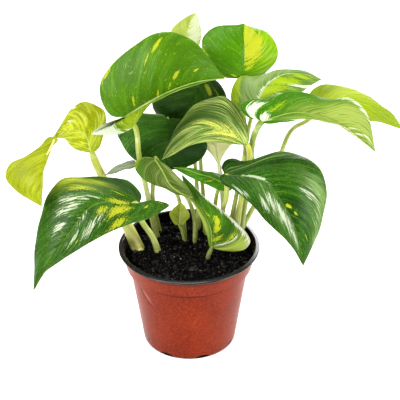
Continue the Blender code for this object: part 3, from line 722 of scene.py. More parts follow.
def stalkPart(leaf, tree, material):
    base, *_, above = leafFrame(leaf)
    top, bottom = leaf["radii"]
    x, y = leaf["foot"]
    under = leaf.get("stalkSide", 1) * above
    route = [bladePoint(leaf, 0.27) - under * top * 0.75, base - under * top]
    route += [*leaf["petiole"], (x, y, stalkMake["soilTop"]), (x * 0.9, y * 0.9, stalkMake["buried"])]
    places = np.linspace(0, 1, stalkMake["samples"])
    girths = np.interp(places, stalkMake["girth"],
                       [top * stalkMake["neck"], top, (top + bottom) / 2,
                        bottom * stalkMake["sheath"], bottom])
    return sweepLine(smoothPath(route, places), girths, tree, material)


def foldPart(leaf, tree, material):
    # the twisted midrib between the two parts of the folded leaf
    route = [bladePoint(leaf, row) for row in (0.78, 0.95)]
    route += [bladePoint(leaf["second"], row) for row in (0.22, 0.45)]
    samples = stalkMake["foldSamples"]
    return sweepLine(smoothPath(route, np.linspace(0, 1, samples)),
                     np.linspace(*stalkMake["fold"], samples), tree, material)


# Living pothos leaf: a smooth waxy skin, softly glossy, that lets a little light through.
# Its green is streaked along the lateral veins, and the variegation follows them too.
# A pattern's Width, Length and Size are those of its single streaks or flecks.
leafLook = {
    "roughness": 0.30, "underRoughness": 0.6, "gloss": 0.13, "through": 0.08,
    "streakWidth": 2.4, "streakLength": 16.0, "combWidth": 1.15, "combLength": 15.0,
    "speckWidth": 0.75, "speckLength": 2.4, "fleckSize": 0.8, "cloudSize": 22.0,
    "lateralGap": 8.5, "fineGap": 1.3, "lateralStrength": 0.30, "fineStrength": 0.12,
    "furrow": 0.3, "speckle": 0.5, "speck": "#a3b640", "stripes": 0.0, "stripeColor": "#b9bb66",
    "yellow": "#aaae22", "yellowComb": 1.1, "yellowFleck": 1.3, "yellowSoftness": 0.12,
    "white": "#c2cab0", "whiteComb": 1.9, "whiteFleck": 0.55, "whiteSoftness": 0.16,
    "ribColor": "#a9c25a", "ribStrength": 0.6, "ribBroad": 1.0,
    "edge": "#9fb45a", "edgeStrength": 0.35, "relief": 0.35, "reliefStrength": 0.4,
    "ior": 1.42, "glowReach": 1.2, "glowColor": (0.6, 1.0, 0.25),
}


def bladeMaterial(name, leaf):
    look = {**leafLook, **leaf}
    tint = {key: srgb(look.get(key, look[other])) for key, other in (
        ("green", "green"), ("deep", "deep"), ("light", "light"), ("under", "under"),
        ("underDeep", "under"), ("vein", "light"), ("frost", "light"), ("speck", "speck"),
        ("stripeColor", "stripeColor"), ("yellow", "yellow"), ("white", "white"),
        ("ribColor", "ribColor"), ("edge", "edge"))}
    made, tree, shader, add = newMaterial(name)
    read = {key: add("Attribute", out="Fac", attribute_name=key)
            for key in ("veinRun", "veinOut", "fromRib", "rowAt", "edgeAt", "under", *markKinds)}
    place, under = add("TexCoord", out="Object"), read["under"]
    grain = {}
    for key, detail in (("streak", 3.0), ("comb", 2.0), ("speck", 2.0)):
        # noise squeezed across the laterals and drawn out along them
        x = add("Math", {0: read["veinRun"], 1: 1 / look[key + "Width"]}, operation="MULTIPLY")
        y = add("Math", {0: read["veinOut"], 1: 1 / look[key + "Length"]}, operation="MULTIPLY")
        spot = add("CombineXYZ", {0: x, 1: y, 2: leaf["seed"]})
        grain[key] = add("TexNoise", {"Vector": spot, "Scale": 1.0, "Detail": detail,
                                      "Distortion": 0.35})
    for key, detail in (("fleck", 3.0), ("cloud", 2.0)):
        grain[key] = add("TexNoise", {"Vector": place, "Scale": cellsOf(look[key + "Size"]),
                                      "Detail": detail})
    streak, comb, fleck = (grain[key] for key in ("streak", "comb", "fleck"))

    # the mottled green of the two faces
    rough = add("Math", {0: streak, 1: grain["cloud"]}, operation="ADD")
    tone = add("Math", {0: fleck, 1: 1.3, 2: rough}, operation="MULTIPLY_ADD")
    tone = add("MapRange", {0: tone, 1: 1.42, 2: 1.92})
    upper = add("Mix", {0: tone, 6: tint["deep"], 7: tint["green"]}, **colorMix)
    below = add("Mix", {0: tone, 6: tint["underDeep"], 7: tint["under"]}, **colorMix)
    color = add("Mix", {0: under, 6: upper, 7: below}, **colorMix)

    # what lies over it: amounts and their colours, from the lowest up
    paler = add("Mix", {0: under, 6: tint["light"], 7: tint["under"]}, **colorMix)
    layers = [(add("MapRange", {0: streak, 1: 0.56, 2: 0.80, 4: 0.6}), paler)]
    waves = []
    for vein, reach in (("lateral", 0.10), ("fine", 0.30)):
        # the laterals and the fine veins between them, a shade lighter
        wave = add("Math", {0: read["veinRun"], 1: 1 / look[vein + "Gap"]}, operation="MULTIPLY")
        waves.append(add("Math", {0: wave, 1: 0.5}, operation="PINGPONG"))
        layers.append((add("MapRange", {0: waves[-1], 2: reach, 3: look[vein + "Strength"], 4: 0.0}),
                       tint["vein"]))
    # deeper green midway between the laterals, and tiny pale flecks
    hollow = add("MapRange", {0: waves[0], 1: 0.30, 2: 0.46, 4: look["furrow"]})
    specks = add("MapRange", {0: grain["speck"], 1: 0.64, 2: 0.70, 4: look["speckle"]})
    for amount, least, shade in ((hollow, 0.0, "deep"), (specks, 0.3, "speck")):
        facing = add("MapRange", {0: under, 3: 1.0, 4: least})
        layers.append((add("Math", {0: amount, 1: facing}, operation="MULTIPLY"), tint[shade]))
    if look["stripes"]:
        gate = add("Math", {0: streak, 1: 0.5, 2: comb}, operation="MULTIPLY_ADD")
        gate = add("MapRange", {0: gate, 1: 0.72, 2: 0.86, 4: look["stripes"]})
        layers.append((gate, tint["stripeColor"]))
    # painted shade, in places the leaf's own darker green, and a painted pale sheen: soft
    # darker and lighter shades, combed along the veins
    combed, flecked = (add("Math", {0: value, 1: 0.5}, operation="SUBTRACT")
                       for value in (comb, fleck))
    for kind, shade, level, sway, most in (("dark", "deep", 0.9, 1.6, 0.9),
                                           ("frost", "frost", 0.8, 3.4, 0.85)):
        gate = add("Math", {0: combed, 1: sway, 2: level}, operation="MULTIPLY_ADD")
        gate = add("Math", {0: read[kind], 1: gate}, operation="MULTIPLY", use_clamp=True)
        layers.append((add("Math", {0: gate, 1: most}, operation="MULTIPLY"), tint[shade]))
    for amount, shade in layers:
        color = add("Mix", {0: amount, 6: color, 7: shade}, **colorMix)

    # sharp-edged variegation, broken up along the veins; a few white marks are painted highlights
    for kind in ("yellow", "white"):
        gate = add("Math", {0: combed, 1: look[kind + "Comb"], 2: read[kind]},
                   operation="MULTIPLY_ADD")
        gate = add("Math", {0: flecked, 1: look[kind + "Fleck"], 2: gate},
                   operation="MULTIPLY_ADD")
        soft = look[kind + "Softness"]
        gate = add("MapRange", {0: gate, 1: 0.5 - soft / 2, 2: 0.5 + soft},
                   interpolation_type="SMOOTHSTEP")
        for factor in (add("MapRange", {0: read[kind], 1: 0.03, 2: 0.25}),
                       add("MapRange", {0: under, 3: 0.92, 4: 0.5})):
            gate = add("Math", {0: gate, 1: factor}, operation="MULTIPLY")
        shade = add("MapRange", {0: fleck, 1: 0.35, 2: 0.65})
        shade = add("Mix", {0: shade, 6: tint[kind], 7: color}, **colorMix)
        shade = add("Mix", {0: 0.16, 6: tint[kind], 7: shade}, **colorMix)
        color = add("Mix", {0: gate, 6: color, 7: shade}, **colorMix)

    # the midrib, pale and tapering to the tip, and the margin
    width = add("MapRange", {0: read["rowAt"], 1: 0.1, 3: 1.15 * look["ribBroad"],
                             4: 0.3 * look["ribBroad"]})
    rib = add("Math", {0: read["fromRib"], 1: width}, operation="DIVIDE")
    rib = add("MapRange", {0: rib, 1: 0.35, 3: look["ribStrength"], 4: 0.0})
    edge = add("MapRange", {0: read["edgeAt"], 1: 0.975, 4: look["edgeStrength"]})
    for amount, shade in ((rib, "ribColor"), (edge, "edge")):
        color = add("Mix", {0: amount, 6: color, 7: tint[shade]}, **colorMix)

    sheen = add("MapRange", {0: fleck, 1: 0.3, 2: 0.7, 3: look["roughness"] - 0.04,
                             4: look["roughness"] + 0.08})
    sheen = add("Mix", {0: under, 2: sheen, 3: look["underRoughness"]})
    height = add("Math", {0: streak, 1: fleck}, operation="ADD")
    height = add("Math", {0: height, 1: waves[1]}, operation="ADD")
    bump = add("Bump", {"Strength": look["reliefStrength"], "Distance": look["relief"] * mm,
                        "Height": height})
    feed(tree, shader, {"Base Color": color, "Roughness": sheen, "Normal": bump,
                        "IOR": look["ior"], "Specular IOR Level": look["gloss"],
                        "Subsurface Weight": look["through"],
                        "Subsurface Radius": look["glowColor"],
                        "Subsurface Scale": look["glowReach"] * mm})
    return made


def stalkMaterial(name, leaf):
    # leaf stalk: fleshy and smooth, finely lined along its length and blotched paler
    look = {**stalkMake, **leaf}
    made, tree, shader, add = newMaterial(name)
    along, turn = (add("Attribute", out="Fac", attribute_name=key)
                   for key in ("alongStalk", "roundStalk"))
    place = add("TexCoord", out="Object")
    x = add("Math", {0: turn, 1: look["linesRound"]}, operation="MULTIPLY")
    y = add("Math", {0: along, 1: look["linesDown"]}, operation="MULTIPLY")
    lines = add("CombineXYZ", {0: x, 1: y, 2: leaf["seed"]})
    lines = add("TexNoise", {"Vector": lines, "Scale": 1.0, "Detail": 3.0})
    patches = add("TexNoise", {"Vector": place, "Scale": cellsOf(look["patchSize"]),
                               "Detail": 3.0})
    line = add("MapRange", {0: lines, 1: 0.46, 2: 0.64, 4: look["stalkLines"]})
    patch = add("MapRange", {0: patches, 1: 0.52, 2: 0.72, 4: look["patches"]})
    rise = add("SeparateXYZ", {0: place}, out="Z")
    foot = add("MapRange", {0: rise, 1: look["scarsFrom"] * mm, 2: look["scarsTo"] * mm})
    scar = add("MapRange", {0: patches, 1: 0.42, 2: 0.54})
    for factor in (foot, look["scars"]):
        scar = add("Math", {0: scar, 1: factor}, operation="MULTIPLY")
    color = add("Mix", {0: along, 6: srgb(look["stalk"]), 7: srgb(look["stalkLow"])}, **colorMix)
    for amount, shade in ((line, "line"), (patch, "patch"), (scar, "scar")):
        color = add("Mix", {0: amount, 6: color, 7: srgb(look[shade])}, **colorMix)
    bump = add("Bump", {"Strength": look["reliefStrength"], "Distance": look["relief"] * mm,
                        "Height": lines})
    feed(tree, shader, {"Base Color": color, "Roughness": look["stalkRoughness"],
                        "Normal": bump, "IOR": look["ior"],
                        "Specular IOR Level": look["stalkGloss"],
                        "Subsurface Weight": look["through"],
                        "Subsurface Radius": look["glowColor"],
                        "Subsurface Scale": look["glowReach"] * mm})
    return made


def joinedLeaf(name, parts, materials):
    # one object from parts, each with points, faces, values to keep and a material slot
    faces, slots, start = [], [], 0
    for part in parts:
        faces += [tuple(int(i) + start for i in face) for face in part["faces"]]
        slots += [part["slot"]] * len(part["faces"])
        start += len(part["points"])
    values = {}
    for key in sorted({key for part in parts for key in part["values"]}):
        values[key] = np.concatenate([part["values"].get(key, np.zeros(len(part["points"])))
                                      for part in parts])
    points = np.concatenate([part["points"] for part in parts])
    return addObject(name, closedMesh(name, points, faces, materials, slots, values))


sweptStalk = stalkTree()
for index, (name, leaf) in enumerate(leafShapes.items()):
    leaf["seed"] = 3.7 * index + 1.3
    first, *others = name.split("_")
    pieceName = first + "".join(word.capitalize() for word in others) + "Leaf"
    leafSkin = bladeMaterial(pieceName + "Skin", leaf)
    stalkSkin = stalkMaterial(pieceName + "StalkSkin", leaf)
    parts = [bladePart(leaf, leafMarks.get(name, {}))]
    if "second" in leaf:
        second = {**leaf["second"], "seed": leaf["seed"] + 1.1}
        parts.append(bladePart(second, leafMarks[name + "_second"]))
        parts.append(foldPart(leaf, sweptStalk, stalkSkin))
    parts.append(stalkPart(leaf, sweptStalk, stalkSkin))
    takesPlace(joinedLeaf(pieceName, parts, [leafSkin, stalkSkin]), "leaf_" + name)
print("leaves grown")


# Pot: thin moulded plastic, terracotta outside and black inside, with a step and a
# collar under the rolled rim and drainage notches round the foot. "rimUnder" and
# "rimTop" are how far in from the rim and how high its outline runs, and "footRing" is
# how far out from the foot's radius and how high. "innerRise" lifts the wall's inside,
# more within "stepSpan". Each band of painted shade, under the step and under the rim,
# is a height, how far the shade reaches from it and how strong it is.
potMake = {
    "steps": 192, "rows": 46, "wall": 1.0, "height": 92.0, "rim": 60.0, "foot": 40.0,
    "footEdge": 0.6, "footRise": 1.2, "floor": 1.2, "stepLow": 73.0, "stepHigh": 74.5,
    "footRing": ((-4, 0.5), (-3.4, 0), (-0.6, 0), (0.1, 0.3), (0.5, 0.8)), "wallStart": 1.6,
    "innerFoot": (-0.8, 1.6), "innerFloor": 2, "innerRise": (0.2, 0.7), "stepSpan": (72.8, 74.8),
    "underStep": 50.8, "collar": 54.0, "collarFlare": 3.2, "collarTop": 89.0, "collarEnd": 88.2,
    "collarRows": (73.0, 73.4, 73.9, 74.3, 74.6, 75.0, 77.0, 80.0, 83.0, 85.5, 87.0),
    "rimUnder": ((2.7, 88.8), (2.3, 89.3), (1.6, 89.7), (0.8, 89.8), (0.3, 89.95), (0, 90.3)),
    "rimTop": ((0, 90.6), (0.12, 90.95), (0.4, 91.2), (1.2, 91.45), (2.8, 91.9), (3.2, 91.9),
               (3.5, 91.7), (3.7, 91.2), (3.9, 90.0)),
    "notches": 8, "notchRadius": 9.0, "notchHeight": 3.2, "notchDepth": 9.0, "notchTurn": 16.6,
    "notchPlace": 39.5, "notchSides": 72, "sharpAngle": 35,
    "dentAngle": -136, "dentHeight": 60.0, "dentDepth": 0.8, "dentLength": 8.0,
    "dentWidth": 1.2, "dentTurn": -46, "sway": 0.25, "swayTurn": 0.6,
    # bands of painted shade under the step and the rim, and their colour
    "dirt": ((71.9, 1.7, 0.8), (88.6, 4.0, 0.7)), "paintedShadeColor": "#3a1407",
    # colour and strength of the painted highlight along the dent
    "dentHighlight": "#c98f79", "dentHighlightStrength": 0.45, "sheen": "#ffd6c8", "ior": 1.5,
    "cloudSize": 28.57, "grainSize": 1.538, "scuffSize": (2.381, 2.381, 16.67), "relief": 0.2,
}

# Injection-moulded plant-pot plastic: an even satin skin, finely mottled and scuffed,
# with a little dust that dulls it in soft patches.
plastics = {
    "mouldedTerracottaPlastic": {"color": "#641701", "mottle": "#832905", "dust": "#a55f45",
                                 "roughness": 0.30, "gloss": 0.08, "dirt": potMake["dirt"]},
    "mouldedBlackPlastic": {"color": "#040405", "mottle": "#08080a", "dust": "#34343c",
                            "roughness": 0.24, "gloss": 0.45, "dirt": ()},
}


def wallRadius(z):
    # straight from the foot to the step, over it, and straight up the flared collar
    low, high = potMake["stepLow"], potMake["stepHigh"]
    foot, start = potMake["foot"] + potMake["footEdge"], potMake["footRise"]
    if z >= high:
        rise = (z - high) / (potMake["collarTop"] - high)
        return potMake["collar"] + rise * potMake["collarFlare"]
    if z >= low:
        rise = (z - low) / (high - low)
        return potMake["underStep"] + rise * (potMake["collar"] - potMake["underStep"])
    return foot + (z - start) * (potMake["underStep"] - foot) / (low - start)


def potProfile():
    # radius, height and material slot, from the middle of the foot up, over and down inside
    foot, ring = potMake["foot"], potMake["footRing"]
    heights = [*np.linspace(potMake["wallStart"], potMake["stepLow"] - 0.5, potMake["rows"]),
               *potMake["collarRows"], potMake["collarEnd"]]
    outside = [(0, ring[0][1])] + [(foot + out, z) for out, z in ring]
    outside += [(wallRadius(z), z) for z in heights]
    outside += [(potMake["rim"] - inset, z) for inset, z in potMake["rimUnder"]]
    inside = [(potMake["rim"] - inset, z) for inset, z in potMake["rimTop"]]
    low, high = potMake["stepSpan"]
    plain, stepped = potMake["innerRise"]
    inside += [(wallRadius(z) - potMake["wall"], z + (stepped if low < z < high else plain))
               for z in reversed(heights) if z > 3]
    out, z = potMake["innerFoot"]
    inside += [(foot + out, z), (foot - potMake["innerFloor"], potMake["floor"]),
               (0, potMake["floor"])]
    return [(r, z, 0) for r, z in outside] + [(r, z, 1) for r, z in inside]


def dent(angle, z):
    # how far the wall is pushed in at this place of the crease, from 0 to 1
    turn = math.radians(potMake["dentTurn"])
    u = math.radians(angle - potMake["dentAngle"]) * wallRadius(z)
    w = z - potMake["dentHeight"]
    along = (u * math.cos(turn) + w * math.sin(turn)) / potMake["dentLength"]
    over = (w * math.cos(turn) - u * math.sin(turn)) / potMake["dentWidth"]
    return math.exp(-along ** 2 - over ** 2)


def plasticMaterial(name, look):
    made, tree, shader, add = newMaterial(name)
    place = add("TexCoord", out="Object")
    rise = add("SeparateXYZ", {0: place}, out="Z")
    cloud, fine = (
        add("TexNoise", {"Vector": place, "Scale": cellsOf(potMake[key]), "Detail": detail})
        for key, detail in (("cloudSize", 3.0), ("grainSize", 2.0)))
    scuff = add("Mapping", {"Vector": place,
                            "Scale": tuple(cellsOf(size) for size in potMake["scuffSize"])})
    scuff = add("TexNoise", {"Vector": scuff, "Scale": 1.0, "Detail": 3.0})
    film = add("MapRange", {0: scuff, 1: 0.58, 2: 0.78, 4: 0.10})
    layers = [(film, look["dust"])]
    for height, reach, strength in look["dirt"]:
        # painted shade in the corners under the step and the rim
        off = add("Math", {0: rise, 1: height * mm}, operation="SUBTRACT")
        off = add("Math", {0: off}, operation="ABSOLUTE")
        layers.append((add("MapRange", {0: off, 2: reach * mm, 3: strength, 4: 0.0}),
                       potMake["paintedShadeColor"]))
    # a painted highlight along the dent, where the creased plastic is also paler
    dentHighlight = add("Attribute", out="Fac", attribute_name="dentHighlight")
    dentHighlight = add("MapRange", {0: dentHighlight, 1: 0.25, 2: 0.95, 4: potMake["dentHighlightStrength"]})
    layers.append((dentHighlight, potMake["dentHighlight"]))
    tone = add("Math", {0: cloud, 1: 0.45, 2: fine}, operation="MULTIPLY_ADD")
    tone = add("MapRange", {0: tone, 1: 0.56, 2: 0.89})
    color = add("Mix", {0: tone, 6: srgb(look["color"]), 7: srgb(look["mottle"])}, **colorMix)
    for amount, shade in layers:
        color = add("Mix", {0: amount, 6: color, 7: srgb(shade)}, **colorMix)
    rough = add("MapRange", {0: cloud, 1: 0.3, 2: 0.7, 3: look["roughness"] - 0.04,
                             4: look["roughness"] + 0.07})
    rough = add("Math", {0: rough, 1: film}, operation="ADD")
    bump = add("Bump", {"Strength": 0.22, "Distance": potMake["relief"] * mm, "Height": fine})
    feed(tree, shader, {"Base Color": color, "Roughness": rough, "Normal": bump,
                        "IOR": potMake["ior"], "Specular IOR Level": look["gloss"],
                        "Sheen Weight": 0.2, "Sheen Roughness": 0.28,
                        "Sheen Tint": srgb(potMake["sheen"])})
    return made


def ringFaces(rings, steps):
    # quads between rings of points
    faces = []
    for start in range(0, (rings - 1) * steps, steps):
        for step in range(steps):
            a, b = start + step, start + (step + 1) % steps
            faces.append((a, b, b + steps, a + steps))
    return faces


def notchBars(materials):
    # one mesh of lying round bars, whose tops cut the notches into the foot
    bm = bmesh.new()
    radius = potMake["notchRadius"] * mm
    place = Vector((potMake["notchPlace"], 0, potMake["notchHeight"] - potMake["notchRadius"])) * mm
    for i in range(potMake["notches"]):
        angle = math.radians(potMake["notchTurn"] - 90 + 360 / potMake["notches"] * i)
        matrix = (Matrix.Rotation(angle, 4, "Z") @ Matrix.Translation(place)
                  @ Matrix.Rotation(math.pi / 2, 4, "Y"))
        bmesh.ops.create_cone(bm, segments=potMake["notchSides"], cap_ends=True, radius1=radius,
                              radius2=radius, depth=potMake["notchDepth"] * mm, matrix=matrix)
    for face in bm.faces:
        face.material_index = 1
    return addObject("notchBars", meshOf(bm, "notchBars", materials))


def potPiece():
    skins = [plasticMaterial(name, look) for name, look in plastics.items()]
    line, steps = potProfile(), potMake["steps"]
    points, slots, dentHighlights = [], [], []
    for radius, z, slot in line:
        for step in range(steps):
            angle = 360 * step / steps - 180
            turn = math.radians(angle)
            pushed = dent(angle, z)
            # how strongly each outer point takes the dent's painted highlight
            dentHighlights.append(0.0 if slot else pushed)
            r = radius
            if radius > potMake["foot"] - 1:
                sway = 0.5 + 0.5 * math.cos(2 * turn + potMake["swayTurn"])
                r -= (potMake["dentDepth"] * pushed
                      + potMake["sway"] * (z / potMake["height"]) * sway)
            points.append((r * math.cos(turn), r * math.sin(turn), z))
    for _, _, slot in line[1:]:
        slots += [slot] * steps
    pot = addObject("nurseryPot", closedMesh("nurseryPot", points, ringFaces(len(line), steps),
                                             skins, slots, {"dentHighlight": dentHighlights}))
    bars = notchBars(skins)
    cut = pot.modifiers.new("notches", "BOOLEAN")
    cut.object, cut.operation, cut.solver = bars, "DIFFERENCE", "MANIFOLD"
    pot.data = evaluatedMesh(pot)
    pot.modifiers.clear()
    bpy.data.objects.remove(bars)
    pot.data.shade_smooth()
    pot.data.set_sharp_from_angle(angle=math.radians(potMake["sharpAngle"]))
    return pot


takesPlace(potPiece(), "pot")
print("pot made")


# Soil: dark moist potting mix, its lumpy top strewn with crumbs, bark chips, fibres
# and a few pale grains, which also stand as painted glints on the moist mix. "lumps"
# are sizes and heights; "side" is the body's outline inside the pot, from the top down.
soilMake = {
    "top": 82.5, "rings": 110, "spokes": 264, "edge": 54.0, "seed": 11, "heap": 2.2,
    "lumps": ((7.0, 2.6), (3.2, 1.9), (1.3, 0.5)), "waves": 0.7, "waveRise": 1.2,
    "side": ((52.8, 80.2), (50.2, 76.5), (49.2, 73), (wallRadius(70) - 1.3, 70),
             (wallRadius(40) - 1.3, 40), (wallRadius(3) - 1.6, 3), (37.8, 1.6)),
    "fade": 5.0, "heapReach": 2.5, "shapes": 7, "uneven": (0.75, 1.15), "reach": 0.5,
    "patchSize": 2.857, "relief": 0.4,
}

# Each bit's skin: its darker and lighter colour, roughness, size of grain and gloss
soilSkins = {
    "moistPeat": ("#020101", "#070505", 0.85, 0.5556, 0.04),
    "peatCrumb": ("#020202", "#0c0a0a", 0.42, 0.6667, 0.16),
    # pale grains, partly painted glints on the moist mix
    "paleGrainAndGlint": ("#4a443f", "#948b82", 0.8, 0.6667, 0.04),
    "barkChip": ("#140d08", "#3a2a1d", 0.7, 0.8333, 0.04),
    "dryFibre": ("#20160e", "#4a3826", 0.75, 0.8333, 0.04),
}

# Strewn bits: how many on a square metre, their sizes, how far they tilt in radians,
# their proportions, the corners of each, and their skin's number
soilBits = {
    "clods": {"density": 12000, "least": 1.4, "most": 4.6, "tilt": 3.0,
              "stretch": (1, 0.85, 0.6), "corners": 26, "skin": 1},
    "crumbs": {"density": 300000, "least": 0.35, "most": 1.7, "tilt": 3.0,
               "stretch": (1, 0.85, 0.7), "corners": 15, "skin": 1},
    # pale grains, partly painted glints on the moist mix
    "grains": {"density": 17000, "least": 0.3, "most": 1.0, "tilt": 3.0,
               "stretch": (1, 0.9, 0.8), "corners": 13, "skin": 2},
    "chips": {"density": 4500, "least": 0.7, "most": 2.2, "tilt": 0.35,
              "stretch": (2.2, 1.1, 0.35), "corners": 14, "skin": 3},
    "fibres": {"density": 9000, "least": 0.6, "most": 1.6, "tilt": 0.25,
               "stretch": (3.6, 0.22, 0.2), "corners": 10, "skin": 4},
}


def soilHeight(x, y):
    # low waves, dying out at the pot's wall, then lumps of falling size
    wave = (0.9 * math.sin(0.21 * x + 1.3) * math.cos(0.17 * y - 0.4)
            + 0.7 * math.sin(0.43 * x - 0.31 * y) + 0.6 * math.cos(0.29 * x + 0.52 * y + 2))
    fade = min(max((soilMake["edge"] - math.hypot(x, y)) / soilMake["fade"], 0), 1)
    height = soilMake["top"] + (wave + soilMake["waveRise"]) * fade * soilMake["waves"]
    for leaf in leafShapes.values():
        # a little soil heaped round each stalk
        away = math.hypot(x - leaf["foot"][0], y - leaf["foot"][1])
        away /= leaf["radii"][1] + soilMake["heapReach"]
        height += soilMake["heap"] * math.exp(-away * away) * fade
    for size, depth in soilMake["lumps"]:
        height += depth * (0.3 + 0.7 * fade) * noise.noise(Vector((x / size, y / size, size)))
    return height


def soilBody(material):
    rings, spokes, side = soilMake["rings"], soilMake["spokes"], soilMake["side"]
    turns = [2 * math.pi * j / spokes for j in range(spokes)]
    points = []
    for i in range(rings):
        r = soilMake["edge"] * (i + 1) / rings
        spots = [(r * math.cos(turn), r * math.sin(turn)) for turn in turns]
        points += [(x, y, soilHeight(x, y)) for x, y in spots]
    for r, z in side:
        points += [(r * math.cos(turn), r * math.sin(turn), z) for turn in turns]
    faces = [(a, d, c, b) for a, b, c, d in ringFaces(rings + len(side), spokes)]
    # the middle of the top and of the bottom
    top, last = len(points), len(points) - spokes
    points += [(0, 0, soilHeight(0, 0)), (0, 0, side[-1][1])]
    for j in range(spokes):
        after = (j + 1) % spokes
        faces += [(top, j, after), (top + 1, last + after, last + j)]
    return addObject("pottingSoil", closedMesh("pottingSoil", points, faces, [material]))


def roughShapes(name, bit):
    # a collection of small angular lumps, each the hull of a few seeded points
    draw = np.random.default_rng(soilMake["seed"])
    shapes = bpy.data.collections.new(name)
    count = bit["corners"]
    for i in range(soilMake["shapes"]):
        spots = draw.normal(size=(count, 3))
        spots /= np.linalg.norm(spots, axis=1, keepdims=True)
        spots *= np.array(bit["stretch"]) * draw.uniform(*soilMake["uneven"], size=(count, 1)) * mm
        bm = bmesh.new()
        for spot in spots:
            bm.verts.new(spot)
        hull = bmesh.ops.convex_hull(bm, input=bm.verts)
        bmesh.ops.delete(bm, geom=list({*hull["geom_interior"], *hull["geom_unused"]}),
                         context="VERTS")
        bmesh.ops.recalc_face_normals(bm, faces=bm.faces)
        shapes.objects.link(bpy.data.objects.new(name + str(i), meshOf(bm, name)))
    return shapes


def strewTree():
    # small shapes strewn over the upward faces within reach of the pot's middle, each
    # turned and sized at random
    tree, asked, add = newTree("strewnBits", {
        "Shapes": "Collection", "Density": "Float", "Least": "Float", "Most": "Float",
        "Tilt": "Float", "Reach": "Float", "Seed": "Int"})
    facing = add("SeparateXYZ", {0: add("GeometryNodeInputNormal")}, out="Z")
    upward = add("FunctionNodeCompare", {0: facing, 1: 0.5}, data_type="FLOAT",
                 operation="GREATER_THAN")
    away = add("VectorMath", {0: add("GeometryNodeInputPosition"), 1: (1.0, 1.0, 0.0)},
               operation="MULTIPLY")
    away = add("VectorMath", {0: away}, out="Value", operation="LENGTH")
    near = add("FunctionNodeCompare", {0: away, 1: asked["Reach"]}, data_type="FLOAT",
               operation="LESS_THAN")
    picked = add("FunctionNodeBooleanMath", {0: upward, 1: near}, operation="AND")
    dots = add("GeometryNodeDistributePointsOnFaces",
               {"Mesh": asked["Geometry"], "Selection": picked, "Density": asked["Density"],
                "Seed": asked["Seed"]})
    shapes = add("GeometryNodeCollectionInfo", {"Collection": asked["Shapes"],
                                                "Separate Children": True, "Reset Children": True})
    # small bits are the most frequent
    size = add("FunctionNodeRandomValue", {2: 0.0, 3: 1.0, 8: 5}, out=1)
    size = add("Math", {0: size, 1: 2.4}, operation="POWER")
    size = add("MapRange", {0: size, 3: asked["Least"], 4: asked["Most"]})
    tilt = asked["Tilt"]
    back = add("Math", {0: tilt, 1: -1.0}, operation="MULTIPLY")
    low = add("CombineXYZ", {0: back, 1: back, 2: 0.0})
    high = add("CombineXYZ", {0: tilt, 1: tilt, 2: 2 * math.pi})
    turn = add("FunctionNodeRandomValue", {0: low, 1: high, 8: 9}, data_type="FLOAT_VECTOR")
    pick = add("FunctionNodeRandomValue", {4: 0, 5: 99, 8: 3}, out=2, data_type="INT")
    strewn = add("GeometryNodeInstanceOnPoints",
                 {"Points": dots, "Instance": shapes, "Pick Instance": True,
                  "Instance Index": pick, "Rotation": turn, "Scale": size})
    return endTree(tree, strewn, asked["Material"])


def soilMaterial(name, dark, light, roughness, grain, gloss):
    # potting mix: near black and moist, with the colour of each bit a little its own
    made, tree, shader, add = newMaterial(name)
    place = add("TexCoord", out="Object")
    patch, fine = (
        add("TexNoise", {"Vector": place, "Scale": cellsOf(size), "Detail": detail})
        for size, detail in ((soilMake["patchSize"], 3.0), (grain, 4.0)))
    mixed = add("MapRange", {0: patch, 1: 0.42, 2: 0.72})
    color = add("Mix", {0: mixed, 6: srgb(dark), 7: srgb(light)}, **colorMix)
    wet = add("MapRange", {0: patch, 1: 0.3, 2: 0.7, 3: roughness - 0.2, 4: roughness + 0.1})
    bump = add("Bump", {"Strength": 0.5, "Distance": soilMake["relief"] * mm, "Height": fine})
    feed(tree, shader, {"Base Color": color, "Roughness": wet, "Normal": bump,
                        "Specular IOR Level": gloss})
    return made


def soilPiece():
    skins = [soilMaterial(name, *look) for name, look in soilSkins.items()]
    body = soilBody(skins[0])
    strewn = strewTree()
    layers = [(0, body.data)]
    for number, (kind, bit) in enumerate(soilBits.items()):
        shapes = roughShapes(kind, bit)
        # the biggest bit still ends inside the pot's wall
        largest = soilMake["uneven"][1] * max(bit["stretch"]) * bit["most"]
        reach = soilMake["edge"] + soilMake["reach"] - largest
        layers.append((bit["skin"], runTree(body, strewn, {
            "Shapes": shapes, "Density": float(bit["density"]), "Least": bit["least"],
            "Most": bit["most"], "Tilt": bit["tilt"], "Reach": reach * mm,
            "Seed": soilMake["seed"] + number, "Material": skins[bit["skin"]]})))
        for shape in list(shapes.objects):
            bpy.data.objects.remove(shape)
        bpy.data.collections.remove(shapes)
    bm = bmesh.new()
    for slot, mesh in layers:
        start = len(bm.faces)
        bm.from_mesh(mesh)
        bm.faces.ensure_lookup_table()
        for face in bm.faces[start:]:
            face.material_index = slot
    body.data = meshOf(bm, "pottingSoil", skins)
    return body


takesPlace(soilPiece(), "soil")
print("soil laid")
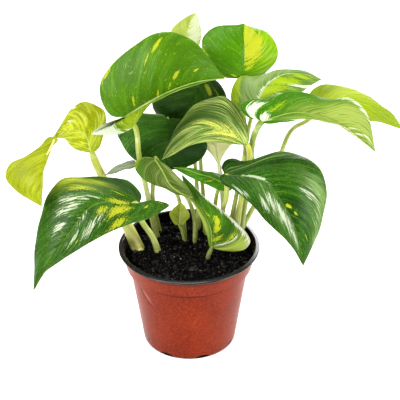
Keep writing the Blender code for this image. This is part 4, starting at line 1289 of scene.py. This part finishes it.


# A white sheet, lit from below as on a light table but not under the pot, where it is
# painted dark as the pot's shade, five soft lamps, a pale room and the camera. These
# sizes are metres.
stageMake = {
    "floorSize": 6.0, "drop": 0.0002, "floor": "#fafafa", "glow": 0.42, "roughness": 0.9,
    "shade": "#0c0908", "shadeRadius": 0.0396, "shadeEdge": 0.001, "room": "#ffffff",
    "roomGlow": 0.36, "aim": (0, 0, 0.13),
}
lamps = {
    "leftPanel": {"at": (-1.0, -0.8, 1.0), "size": 0.5, "power": 18},
    "windowLight": {"at": (-0.6, -1.0, 1.3), "size": 0.2, "power": 6},
    "rightPanel": {"at": (1.2, -0.6, 0.7), "size": 0.6, "power": 17},
    "topPanel": {"at": (-0.1, 0.2, 1.6), "size": 0.8, "power": 15},
    "backPanel": {"at": (0.5, 1.1, 0.6), "size": 0.6, "power": 9},
}
cameraMake = {"target": (0.0093, 0, 0.134), "distance": 0.8, "elevation": 29.5, "lens": 87.1}

bpy.ops.mesh.primitive_plane_add(size=stageMake["floorSize"], location=(0, 0, -stageMake["drop"]))
floor = bpy.context.object
floor.name = "whiteSheet"
floorSkin, tree, shader, add = newMaterial("whitePaper")
away = add("VectorMath", {0: add("TexCoord", out="Object")}, out="Value", operation="LENGTH")
beyond = add("MapRange", {0: away, 1: stageMake["shadeRadius"],
                          2: stageMake["shadeRadius"] + stageMake["shadeEdge"]})
# painted shade: the sheet is painted dark under the pot, and its glow stops there too
paperAndPaintedShade = add("Mix", {0: beyond, 6: srgb(stageMake["shade"]), 7: srgb(stageMake["floor"])}, **colorMix)
glow = add("Math", {0: beyond, 1: stageMake["glow"]}, operation="MULTIPLY")
feed(tree, shader, {"Base Color": paperAndPaintedShade, "Roughness": stageMake["roughness"],
                    "Emission Color": srgb(stageMake["floor"]), "Emission Strength": glow})
floor.data.materials.append(floorSkin)

for name, lamp in lamps.items():
    light = bpy.data.lights.new(name, "AREA")
    light.shape = "SQUARE"
    light.size = lamp["size"]
    light.energy = lamp["power"]
    panel = addObject(name, light)
    panel.location = lamp["at"]
    aim = Vector(stageMake["aim"]) - panel.location
    panel.rotation_euler = aim.to_track_quat("-Z", "Y").to_euler()

room = bpy.data.worlds.new("softRoom")
room.use_nodes = True
feed(room.node_tree, room.node_tree.nodes["Background"],
     {"Color": srgb(stageMake["room"]), "Strength": stageMake["roomGlow"]})
bpy.context.scene.world = room

cameraData = bpy.data.cameras.new("photoCamera")
cameraData.lens = cameraMake["lens"]
camera = addObject("photoCamera", cameraData)
tilt = math.radians(cameraMake["elevation"])
camera.location = Vector(cameraMake["target"]) + cameraMake["distance"] * Vector(
    (0, -math.cos(tilt), math.sin(tilt)))
camera.rotation_euler = (math.pi / 2 - tilt, 0, 0)
bpy.context.scene.camera = camera

view = bpy.context.scene.view_settings
view.view_transform = "Standard"
view.look = "None"
view.exposure = 0.0
print("stage set")
